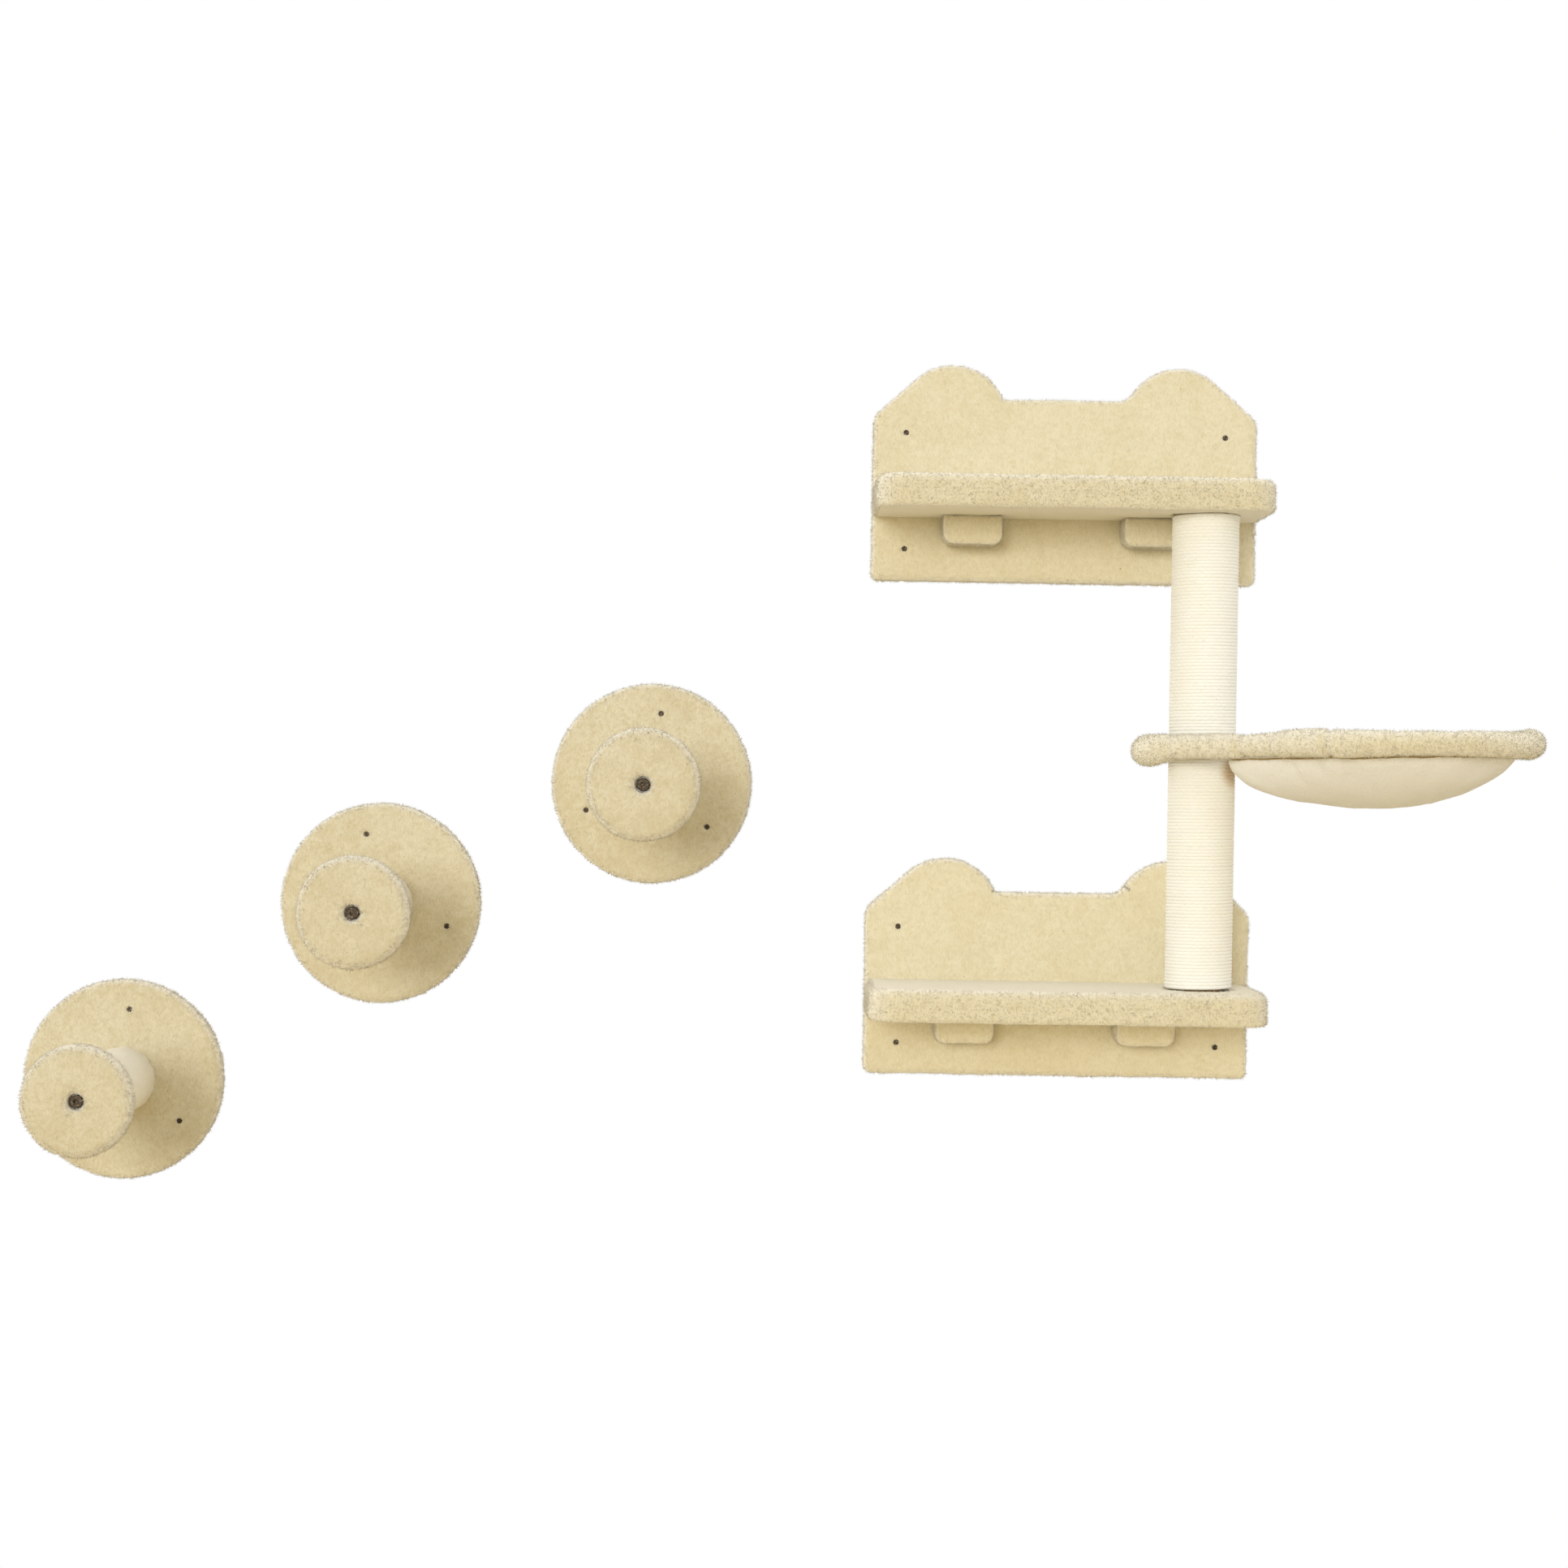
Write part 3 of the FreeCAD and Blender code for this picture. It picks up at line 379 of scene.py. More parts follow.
def zinc_plate():
    """Steel with bright zinc plating: satin grey with a cloudy bloom and fine scratches."""
    material, tree, place = new_material("zinc_plate")
    bloom = add(tree, "TexNoise", {"Vector": place, "Scale": 1 / ZINC_BLOOM, "Detail": 3.0})
    scratch = add(tree, "TexNoise", {"Vector": place, "Scale": 1 / ZINC_SCRATCH, "Detail": 3.0})
    grey = add(tree, "MapRange", [bloom, 0.3, 0.7])
    dull = add(tree, "MapRange", [scratch, 0.2, 0.8, 0.25, 0.5])
    surface = {"Metallic": 1.0, "Roughness": dull}
    return dress(material, tree, "#B9B7AE", [(grey, "#8F8D86")], scratch, 0.03 * MM, surface)


OXIDE_SPOT = 1.6 * MM


def black_oxide():
    """Steel blackened in an oxide bath: dark brown-grey, with rubbed spots that glint."""
    material, tree, place = new_material("black_oxide")
    worn = add(tree, "TexNoise", {"Vector": place, "Scale": 1 / OXIDE_SPOT, "Detail": 4.0, "Roughness": 0.65})
    rubbed = add(tree, "MapRange", [worn, 0.54, 0.68, 0.0, 0.8])
    dull = add(tree, "MapRange", [worn, 0.3, 0.7, 0.55, 0.35])
    surface = {"Metallic": 0.6, "Roughness": dull}
    return dress(material, tree, "#3A2D1E", [(rubbed, "#9A8A70")], worn, 0.15 * MM, surface)


# the third colour of each plush is its painted rim highlight, laid where the surface faces away from the
# front
MATERIALS = {
    "cream_plush": plush("sheared_plush", "#EDE5CA", "#CFBC8A", "#FFFBEE",
                         depth=1.5 * MM, parted=0.4, stroked=0.14, mote=0.7),
    # painted shade: a darker copy of the cream plush for the steps, which stand in weaker light; it also has
    # a deeper grain
    "step_plush": plush("sheared_step_plush_painted_shade", "#EAE2C8", "#C6B281", "#FFFBEE",
                        depth=1.9 * MM, parted=0.45, stroked=0.22, mote=0.6),
    "smooth_plush": plush("flattened_plush", "#F4EEDC", "#DACDA6", "#FBF7EA",
                          depth=1.2 * MM, parted=0.5, stroked=0.16, mote=0.0),
    # paler cloth, whitened further as painted light for light passing through the thin bag: partly its own
    # colour, partly painted light
    "pale_plush": plush("inner_plush_painted_light", "#FDFDFC", "#EBE4D0", "#FEFEFC",
                        depth=1.6 * MM, parted=0.45, stroked=0.14, mote=0.0),
    "sisal": sisal(),
    # painted shadow: dark line along the bag's seam under the sleeve
    "painted_seam_shadow": seam_shadow_thread(),
    "mdf": fibreboard(),
    "particle_board": chipboard(),
    "pine": sawn_pine(),
    "cardboard": wound_paper(),
    "zinc_steel": zinc_plate(),
    "blackened_steel": black_oxide(),
}


# ---------------------------------------------------------------- making a mesh
INSIDE_ONLY = 1  # the triangulation leaves out what lies outside the ring
SAME_POINT = 1e-7


class Skin:
    """Points and faces of one piece while it is being made."""

    def __init__(self):
        self.points = []
        self.faces = []
        self.still = set()

    def row(self, points, still=False):
        start = len(self.points)
        self.points.extend(Vector(p) for p in points)
        made = list(range(start, len(self.points)))
        if still:
            self.still.update(made)
        return made

    def bridge(self, inner, outer, closed=True):
        """Quads from one row to the next, facing out where the inner row runs anticlockwise."""
        for i in range(len(inner) if closed else len(inner) - 1):
            j = (i + 1) % len(inner)
            self.faces.append((inner[i], outer[i], outer[j], inner[j]))

    def tube(self, rows):
        """Tube over rows that run clockwise seen from its far end, closed at both ends."""
        for a, b in zip(rows, rows[1:]):
            self.bridge(b, a)
        self.faces += [tuple(reversed(rows[0])), tuple(rows[-1])]

    def net(self, ring, across, up, spacing, extra=(), clear=(), flip=False):
        """Closes a flat ring with a fine triangle net.  across and up are the ring's two axes; extra
        are more points on it, as whole vectors, and clear are (u, v, radius) kept free of the net."""
        level = self.points[ring[0]].copy()
        flat = [(self.points[i][across], self.points[i][up]) for i in ring]
        made = list(ring)
        for u, v in grid_inside(flat, spacing):
            if all(hypot(u - x, v - z) > radius for x, z, radius in clear):
                point = level.copy()
                point[across] = u
                point[up] = v
                made += self.row([point])
        made += self.row(extra, still=True)
        seeds = [Vector((self.points[i][across], self.points[i][up])) for i in made]
        edges = [(i, (i + 1) % len(ring)) for i in range(len(ring))]
        faces, sources = delaunay_2d_cdt(seeds, edges, [], INSIDE_ONLY, SAME_POINT)[2:4]
        for face in faces:
            corners = [made[sources[i][0]] for i in face]
            self.faces.append(tuple(reversed(corners)) if flip else tuple(corners))


GRID_SEED = 7
GRID_WOBBLE = 0.2  # of the spacing
GRID_MARGIN = 0.55  # of the spacing


def grid_inside(outline, spacing):
    """Staggered grid points inside a closed outline, none nearer to it than half the spacing."""
    corners = np.array(outline)
    low, high = corners.min(0), corners.max(0)
    rows = np.arange(low[1] + spacing / 2, high[1], spacing * sqrt(0.75))
    columns = np.arange(low[0] + spacing / 2, high[0], spacing)
    wobble = Random(GRID_SEED)
    reach = GRID_WOBBLE * spacing
    spots = []
    for k, z in enumerate(rows):
        for x in columns:
            across = x + (k % 2) * spacing / 2 + wobble.uniform(-reach, reach)
            spots.append((across, z + wobble.uniform(-reach, reach)))
    spots = np.array(spots)
    inside = np.zeros(len(spots), bool)
    nearest = np.full(len(spots), np.inf)
    for (x0, z0), (x1, z1) in zip(corners, np.roll(corners, -1, 0)):
        straddles = (z0 > spots[:, 1]) != (z1 > spots[:, 1])
        if z0 != z1:
            inside ^= straddles & (spots[:, 0] < (x1 - x0) * (spots[:, 1] - z0) / (z1 - z0) + x0)
        length = max((x1 - x0) ** 2 + (z1 - z0) ** 2, 1e-12)
        share = ((spots[:, 0] - x0) * (x1 - x0) + (spots[:, 1] - z0) * (z1 - z0)) / length
        share = np.clip(share, 0, 1)
        gap = np.hypot(spots[:, 0] - x0 - share * (x1 - x0), spots[:, 1] - z0 - share * (z1 - z0))
        nearest = np.minimum(nearest, gap)
    return [tuple(p) for p in spots[inside & (nearest > GRID_MARGIN * spacing)]]


BROAD = 55 * MM  # sizes of the pile's unevenness
NAP = 15 * MM
TUFT = 5 * MM


def unevenness(point, broad, nap, tuft):
    """Height of a hand-stretched pile above its even surface, from three sizes of lump."""
    height = broad * noise.noise(point / BROAD)
    height += nap * noise.noise(point / NAP)
    return height + tuft * noise.noise(point / TUFT)


def finish_piece(name, skin, slot, body, nodes=(), pile=None, back=None, finish=None):
    """Makes the piece, raises its pile by three heights in metres, and puts it on its body.  Its finish
    is its slot's unless another is named."""
    mesh = bpy.data.meshes.new(name)
    mesh.from_pydata(skin.points, [], skin.faces)
    if pile:
        normals = [normal.vector.copy() for normal in mesh.vertex_normals]
        for vertex, normal in zip(mesh.vertices, normals):
            if vertex.index not in skin.still:
                vertex.co += normal * unevenness(vertex.co, *pile)
                if back is not None:
                    vertex.co.y = min(vertex.co.y, back)
    mesh.shade_smooth()
    mesh.materials.append(MATERIALS[finish or slot])
    made = put(name, mesh)
    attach(made, body)
    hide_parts(*nodes)
    return made


NAP_SEED = 1
TUFT_SPACING = 2.0 * MM
TUFT_ROOT = 0.38 * MM  # half width, drawn as a bundle of fibres
TUFT_REACH = (1.6 * MM, 4.0 * MM)
TUFT_SUNK = 0.5 * MM
TUFT_RISE = (0.25, 0.95)  # of its reach, the rest is lean
FLAT_FACE = 0.97  # how squarely a face has to lie to count as flat


def nap(name, cover, body, flat=None, finish=None):
    """Tips of pile that stand off a cover, as slender three-sided tufts.  They are left out where the
    cover faces along its flat axis, because only its rounded edges show them against something else."""
    count = len(cover.data.polygons)
    centres, normals, areas = np.empty(3 * count), np.empty(3 * count), np.empty(count)
    cover.data.polygons.foreach_get("center", centres)
    cover.data.polygons.foreach_get("normal", normals)
    cover.data.polygons.foreach_get("area", areas)
    centres, normals = centres.reshape(-1, 3), normals.reshape(-1, 3)
    if flat is not None:
        areas = np.where(np.abs(normals[:, flat]) < FLAT_FACE, areas, 0.0)
    chance = np.random.default_rng(NAP_SEED)
    picks = chance.choice(count, int(areas.sum() / TUFT_SPACING**2), p=areas / areas.sum())
    out = normals[picks]
    lean = chance.normal(size=out.shape)
    lean -= out * (lean * out).sum(1, keepdims=True)
    lean /= np.linalg.norm(lean, axis=1, keepdims=True)
    across = np.cross(out, lean)
    rise = chance.uniform(*TUFT_RISE, (len(picks), 1))
    reach = chance.uniform(*TUFT_REACH, (len(picks), 1))
    shift = chance.uniform(-0.5, 0.5, (len(picks), 2)) * TUFT_SPACING
    root = centres[picks] + lean * shift[:, :1] + across * shift[:, 1:] - out * TUFT_SUNK
    tip = root + out * (TUFT_SUNK + reach * rise) + lean * reach * np.sqrt(1 - rise**2)
    thirds = [2 * pi * k / 3 for k in range(3)]
    corners = [root + TUFT_ROOT * (across * cos(a) + (lean - out) * 0.7 * sin(a)) for a in thirds]
    skin = Skin()
    skin.points = [Vector(p) for p in np.stack(corners + [tip], 1).reshape(-1, 3)]
    for start in range(0, len(skin.points), 4):
        a, b, c, top = range(start, start + 4)
        skin.faces += [(a, b, c), (b, a, top), (c, b, top), (a, c, top)]
    finish_piece(name, skin, "cream_plush", body, finish=finish)


def plush_piece(name, skin, node, pile, flat=None, body="wall_set", back=None, finish=None):
    """A cream plush cover with the tips of its pile."""
    made = finish_piece(name + "_plush", skin, "cream_plush", body, [node], pile, back, finish)
    nap(name + "_nap", made, body, flat, finish)
    return made


def bells(humps, x):
    """Sum of bell-shaped humps, each (middle, half width, height)."""
    return sum(height * exp(-(((x - middle) / width) ** 2)) for middle, width, height in humps)


def heading(angle):
    return Vector((cos(angle), sin(angle), 0))


# ---------------------------------------------------------------- outlines
def arc_points(centre, radius, start, end, count):
    angles = [start + (end - start) * k / count for k in range(count + 1)]
    return [(centre[0] + radius * cos(a), centre[1] + radius * sin(a)) for a in angles]


def joined(pieces, counts):
    """Points along arcs and the straight lines between them; counts are the lines' divisions."""
    points = []
    for arc, count in zip(pieces, counts):
        if points and count:
            (x0, z0), (x1, z1) = points[-1], arc[0]
            points += [(x0 + (x1 - x0) * k / count, z0 + (z1 - z0) * k / count) for k in range(1, count)]
        points += arc
    return points


def panel_half(inset, foot_radius):
    """Right half of the eared outline, from the bottom's middle round to the top's middle."""
    side = PANEL_HALF - inset
    low = inset - PANEL_BELOW
    corner_radius = max(PANEL_CORNER - inset, TIGHT)
    shoulder_radius = max(SHOULDER - inset, TIGHT)
    ear = (EAR_X, EAR_Z)
    ear_radius = EAR_RADIUS - inset
    flank = (EAR_X + ear_radius * sin(EAR_SLOPE), EAR_Z + ear_radius * cos(EAR_SLOPE))
    shoulder_top = flank[1] - (side - flank[0]) * tan(EAR_SLOPE)
    setback = shoulder_radius * tan((pi / 2 - EAR_SLOPE) / 2)
    shoulder = (side - shoulder_radius, shoulder_top - setback)
    rise = PANEL_ABOVE + foot_radius - EAR_Z
    foot = (EAR_X - sqrt((EAR_RADIUS + foot_radius) ** 2 - rise**2), EAR_Z + rise)
    foot_angle = atan2(foot[1] - ear[1], foot[0] - ear[0])
    arcs = [
        [(0, low)],
        arc_points((side - corner_radius, low + corner_radius), corner_radius, -pi / 2, 0, 5),
        arc_points(shoulder, shoulder_radius, 0, pi / 2 - EAR_SLOPE, 6),
        arc_points(ear, ear_radius, pi / 2 - EAR_SLOPE, foot_angle, 36),
        arc_points(foot, foot_radius + inset, foot_angle - pi, -pi / 2, 5),
        [(0, PANEL_ABOVE - inset)],
    ]
    return joined(arcs, (0, 64, 52, 15, 0, 20))


def panel_outline(inset):
    right = panel_half(inset, EAR_FOOT_RIGHT)
    left = panel_half(inset, EAR_FOOT_LEFT)
    return right + [(-x, z) for x, z in reversed(left[1:-1])]


def disc_outline(inset):
    count = round(2 * pi * DISC_RADIUS / STEP)
    return arc_points((0, 0), DISC_RADIUS - inset, 0, 2 * pi, count)[:-1]


def block_outline(inset):
    """Front of a block, round at its lower corners and tight under the shelf."""
    side = BLOCK_WIDTH / 2 - inset
    low = BLOCK_LOW.z + inset
    high = BLOCK_HIGH.z - inset
    lower = max(BLOCK_CORNER - inset, TIGHT)
    upper = max(BLOCK_TOP_CORNER - inset, TIGHT)
    start = arc_points((side - lower, low + lower), lower, -pi / 2, 0, 6)
    arcs = [
        start,
        arc_points((side - upper, high - upper), upper, 0, pi / 2, 2),
        arc_points((-side + upper, high - upper), upper, pi / 2, pi, 2),
        arc_points((-side + lower, low + lower), lower, pi, 3 * pi / 2, 6),
        [(0, low)],
        start[:1],
    ]
    return joined(arcs, (0, 6, 20, 6, 8, 8))[:-1]


# ---------------------------------------------------------------- covers of boards
PRICK = ((2.2 * MM, 1.8 * MM), (3.1 * MM, 0.2 * MM), (4.6 * MM, -0.3 * MM), (7.0 * MM, 0.1 * MM))
PRICK_POINTS = 10
HEM_PLEAT = 11 * MM
PLEAT_DEPTH = 1.5 * MM


def edge_stations(radius, front, back):
    """(inset, y) down a covered edge: round at the front, then straight to near the back."""
    stations = [(radius * (1 - sin(t)), front + radius * (1 - cos(t))) for t in QUARTER]
    straight = back - front - radius
    rows = ceil(straight / STEP)
    return stations + [(0, front + radius + straight * k / rows) for k in range(1, rows + 1)]


def hem_stations():
    """(inset, y) of the plush turned over the back edge and laid on the board's back."""
    fold = [(0.7 * MM, -0.7 * MM), (2.4 * MM, -0.1 * MM)]
    flat = [(inset * MM, 0.0) for inset in (6, 10, 14, 18, 22, 25)]
    return fold + flat + [(PLUSH + HEM - 0.6 * MM, -0.5 * MM), (PLUSH + HEM, 0.3 * MM - PLUSH)]


def gathering(outline):
    """How much the hem bunches up at each point: 1 on a tight outward bend, 0 where it is straight."""
    outer, inner = outline(0), outline(PLUSH + HEM)
    count = len(outer)
    shares = []
    for i in range(count):
        a, b = i - 1, (i + 1) % count
        long = dist(outer[a], outer[b])
        short = dist(inner[a], inner[b])
        shares.append(min(max(2.5 * (1 - short / long), 0), 1))
    return shares


def wrapped_board(outline, radius, front, back, screws=(), hem=False):
    """Cover stretched over a board from its front; screws are the (x, z) where heads sink in."""
    skin = Skin()
    stations = edge_stations(radius, front, back - (PLUSH if hem else 0))
    rim = skin.row([(x, front, z) for x, z in outline(stations[0][0])])
    dents = []
    for x, z in screws:
        for reach, depth in PRICK:
            for k in range(PRICK_POINTS):
                turn = 2 * pi * k / PRICK_POINTS + reach / MM
                dents.append((x + reach * cos(turn), front + depth, z + reach * sin(turn)))
        dents.append((x, front + PRICK[0][1], z))
    clear = [(x, z, PRICK[-1][0] + 0.4 * NET) for x, z in screws]
    skin.net(rim, 0, 2, NET, dents, clear)
    last = rim
    for inset, y in stations[1:]:
        fresh = skin.row([(x, y, z) for x, z in outline(inset)])
        skin.bridge(last, fresh)
        last = fresh
    if hem:
        bunched = gathering(outline)
        for inset, y in hem_stations():
            reach = min(inset / HEM, 1.0)
            line = []
            for i, (x, z) in enumerate(outline(inset)):
                phase = pi * i * STEP / HEM_PLEAT + 2 * noise.noise(Vector((x, z, 0)) / BROAD)
                pleat = PLEAT_DEPTH * abs(cos(phase)) ** 5
                line.append((x, y - pleat * bunched[i] * reach, z))
            fresh = skin.row(line, still=inset > HEM)
            skin.bridge(last, fresh)
            last = fresh
    return skin


def shifted(skin, x=0.0, z=0.0):
    for point in skin.points:
        point.x += x
        point.z += z
    return skin


COVER_PILE = (0.6 * MM, 0.45 * MM, 0.35 * MM)


def outline_size(outline):
    """Area and length round an outline."""
    points = outline(0)
    pairs = list(zip(points, points[1:] + points[:1]))
    area = sum(a[0] * b[1] - b[0] * a[1] for a, b in pairs) / 2
    return area, sum(dist(a, b) for a, b in pairs)


def panel_cover(name, drop):
    screws = [(x, z) for x in (-SCREW_X, SCREW_X) for z in (-SCREW_Z, SCREW_Z)]
    skin = wrapped_board(panel_outline, PANEL_EDGE, -PANEL_THICK, 0.0, screws, hem=True)
    made = plush_piece(name + "_panel", shifted(skin, z=drop), name + "_panel_cover", COVER_PILE,
                       flat=1, back=0.0)
    area, length = outline_size(panel_outline)
    turned = PANEL_THICK + HEM
    flat = (2 * (PANEL_HALF + turned), PANEL_BELOW + PANEL_HIGH.z + 2 * turned)
    area = min(area + length * turned, flat[0] * flat[1])


STAPLE_HALF = 5 * MM
STAPLE_WIDTH = 0.6 * MM
STAPLE_HEIGHT = 0.45 * MM
STAPLE_LEG = 2 * MM
STAPLE_SEAT = 0.55 * MM
STAPLE_SPACING = 34 * MM
STAPLE_INSET = 15 * MM
STAPLE_SKEW = 0.25
# along the staple's half length, and how high over its seat
STAPLE_PATH = ((-1, -STAPLE_LEG), (-1, 0), (-0.9, STAPLE_HEIGHT),
               (0.9, STAPLE_HEIGHT), (1, 0), (1, -STAPLE_LEG))


def hem_staples(name, outline, x, z, seed):
    """Flat-crowned staples pressed into the hem, each a little askew."""
    chance = Random(seed)
    line = outline(STAPLE_INSET)
    every = round(STAPLE_SPACING / STEP)
    skin = Skin()
    into = Vector((0, 1, 0))
    for i in range(0, len(line) - every // 2, every):
        (x0, z0), (x1, z1) = line[i], line[(i + 1) % len(line)]
        turn = atan2(z1 - z0, x1 - x0) + chance.uniform(-STAPLE_SKEW, STAPLE_SKEW)
        way = Vector((cos(turn), 0, sin(turn)))
        side = Vector((-sin(turn), 0, cos(turn))) * STAPLE_WIDTH
        seat = Vector((x + x0, -STAPLE_SEAT, z + z0))
        rows = []
        for share, height in STAPLE_PATH:
            middle = seat + way * share * STAPLE_HALF + into * height
            under = middle - into * STAPLE_HEIGHT
            rows.append(skin.row([middle - side, middle + side, under + side * 0.8, under - side * 0.8]))
        skin.tube(rows)
    return finish_piece(name, skin, "zinc_steel", "wall_set")


# ---------------------------------------------------------------- shelves and blocks
def shelf_path(inset):
    """Plan of the shelf's three free sides, from the back left round to the back right."""
    side = SHELF_HIGH.x - inset
    front = SHELF_LOW.y + inset
    back = SHELF_HIGH.y
    radius = max(SHELF_CORNER - inset, TIGHT)
    arcs = [
        [(-side, back)],
        arc_points((-side + radius, front + radius), radius, pi, 3 * pi / 2, 12),
        arc_points((side - radius, front + radius), radius, 3 * pi / 2, 2 * pi, 12),
        [(side, back)],
    ]
    return joined(arcs, (0, 36, 114, 36))


def shelf_skin():
    """Cover round top, edge and underside, open against the panel."""
    low, high = SHELF_LOW.z, SHELF_HIGH.z
    upper = [(SHELF_EDGE * (1 - sin(t)), high - SHELF_EDGE * (1 - cos(t))) for t in QUARTER]
    lower = [(SHELF_LOWER_EDGE * (1 - cos(t)), low + SHELF_LOWER_EDGE * (1 - sin(t))) for t in QUARTER]
    straight = high - SHELF_EDGE - SHELF_LOWER_EDGE - low
    middle = [(0.0, high - SHELF_EDGE - straight * k / 5) for k in range(1, 5)]
    skin = Skin()
    rows = [skin.row([(x, y, z) for x, y in shelf_path(inset)]) for inset, z in upper + middle + lower]
    for a, b in zip(rows, rows[1:]):
        skin.bridge(a, b, closed=False)
    for row, flip in ((rows[0], False), (rows[-1], True)):
        start, end = skin.points[row[0]], skin.points[row[-1]]
        count = round((end.x - start.x) / STEP)
        back = skin.row([end.lerp(start, k / count) for k in range(1, count)], still=True)
        skin.net(row + back, 0, 1, NET * 1.15, flip=flip)
    return skin


# pile pushed up round a washer or the post: how far off, half width, height
SWELL = (4 * MM, 5 * MM, 0.9 * MM)
WASHER_RADIUS = 12 * MM
WASHER_SINK = 2.2 * MM
POST_SINK = 0.8 * MM


def pressed(skin, places):
    """Plush squeezed at (level, radius, way out, depth), as under a washer or the post, swells round it."""
    for point in skin.points:
        away = hypot(point.x - POST.x, point.y - POST.y)
        for level, radius, up, depth in places:
            if abs(point.z - level) < 2 * MM:
                sunk = depth if away < radius + 1 * MM else 0
                point.z += up * (bells([SWELL], away - radius) - sunk)
    return skin


def shelf_cover(name, drop, post_on_top):
    high, low = SHELF_HIGH.z, SHELF_LOW.z
    if post_on_top:
        presses = ((high, POST_RADIUS, 1, POST_SINK), (low, WASHER_RADIUS, -1, WASHER_SINK))
    else:
        presses = ((high, WASHER_RADIUS, 1, WASHER_SINK), (low, POST_RADIUS, -1, POST_SINK))
    skin = shifted(pressed(shelf_skin(), presses), z=drop)
    made = plush_piece(name + "_shelf", skin, name + "_shelf_cover", COVER_PILE, flat=2)


def block_covers(name, drop):
    skin = Skin()
    front, back = BLOCK_LOW.y, BLOCK_HIGH.y
    for x in BLOCK_PLACES:
        one = shifted(wrapped_board(block_outline, BLOCK_EDGE, front, back), x=x, z=drop)
        start = len(skin.points)
        skin.points += one.points
        skin.faces += [tuple(i + start for i in face) for face in one.faces]
    made = plush_piece(name + "_block", skin, name + "_block_covers", COVER_PILE, flat=1)


# ---------------------------------------------------------------- post
def rope_half(name, node, seed):
    """The real fine winding of one half of the post, turn on turn."""
    low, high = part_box(node)
    chance = Random(seed)
    pitch = (high.z - low.z) / ROPE_TURNS
    skin = Skin()
    along, angles, rows = [], [], []
    shift = chance.uniform(0, 100)
    for k in range((ROPE_TURNS - 1) * ROPE_POINTS + 1):
        turn = 2 * pi * k / ROPE_POINTS
        wander = ROPE_WANDER * pitch * noise.noise(Vector((0.35 * turn, shift, 0)))
        fat = ROPE_THICK * pitch * (1 + ROPE_FAT * noise.noise(Vector((1.7 * turn, shift, 5))))
        loose = ROPE_LOOSE * noise.noise(Vector((0.9 * turn, shift, 9)))
        z = low.z + pitch / 2 + pitch * turn / (2 * pi) + wander
        out = heading(turn)
        centre = Vector((POST.x, POST.y, z)) + out * (POST_RADIUS - fat + loose)
        row = []
        for s in range(ROPE_SIDES):
            a = 2 * pi * s / ROPE_SIDES
            row.append(centre + out * fat * cos(a) + Vector((0, 0, fat * 1.04 * sin(a))))
            along.append(turn * POST_RADIUS)
            angles.append(a)
        rows.append(skin.row(row))
    skin.tube(rows[::-1])
    made = finish_piece(name, skin, "sisal", "wall_set", [node])
    for label, values in (("along", along), ("around", angles)):
        made.data.attributes.new(label, "FLOAT", "POINT").data.foreach_set("value", values)
    return made


FIBRES = 220
FIBRE_MARGIN = 3 * MM
FIBRE_SUNK = 1.2 * MM
FIBRE_LENGTH = (3, 9)  # mm
FIBRE_BOW = 1.0 * MM
FIBRE_THICK = 0.11 * MM


def stray_fibres(name, node, seed):
    """Loose sisal fibres that have worked out of the winding."""
    low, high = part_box(node)
    chance = Random(seed)
    skin = Skin()
    up = Vector((0, 0, 1))
    for _ in range(FIBRES):
        turn = chance.uniform(0, 2 * pi)
        z = chance.uniform(low.z + FIBRE_MARGIN, high.z - FIBRE_MARGIN)
        out = heading(turn)
        side = Vector((-sin(turn), cos(turn), 0))
        root = Vector((POST.x, POST.y, z)) + out * (POST_RADIUS - FIBRE_SUNK)
        length = chance.uniform(*FIBRE_LENGTH) * MM
        way = side * chance.choice((-1, 1)) + out * chance.uniform(0.1, 0.45)
        way += up * chance.uniform(-0.35, 0.35)
        way.normalize()
        curl = out * -chance.uniform(0.0, 0.5) + up * chance.uniform(-0.4, 0.4)
        rows = []
        for share in (0, 0.25, 0.5, 0.75, 1):
            bow = out * FIBRE_BOW * sin(pi * share)
            centre = root + way * length * share + curl * length * share**2 + bow
            thick = FIBRE_THICK * (1.15 - share)
            rows.append(skin.row([centre + out * thick, centre - (out - up * 1.7) * thick / 2,
                                  centre - (out + up * 1.7) * thick / 2]))
        skin.tube(rows)
    return finish_piece(name, skin, "sisal", "wall_set")


# ---------------------------------------------------------------- hammock
RING_Z = (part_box("hammock_plate")[0].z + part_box("hammock_plate")[1].z) / 2


def hammock_place(point):
    """From the hammock's own axes, arm along +X and wire at height 0, to its place at rest."""
    tipped = Matrix.Rotation(-RING_RISE, 4, "Y") @ point
    return Matrix.Rotation(-REST_SWING, 4, "Z") @ tipped + Vector((POST.x, POST.y, RING_Z + SLEEVE_LIFT))


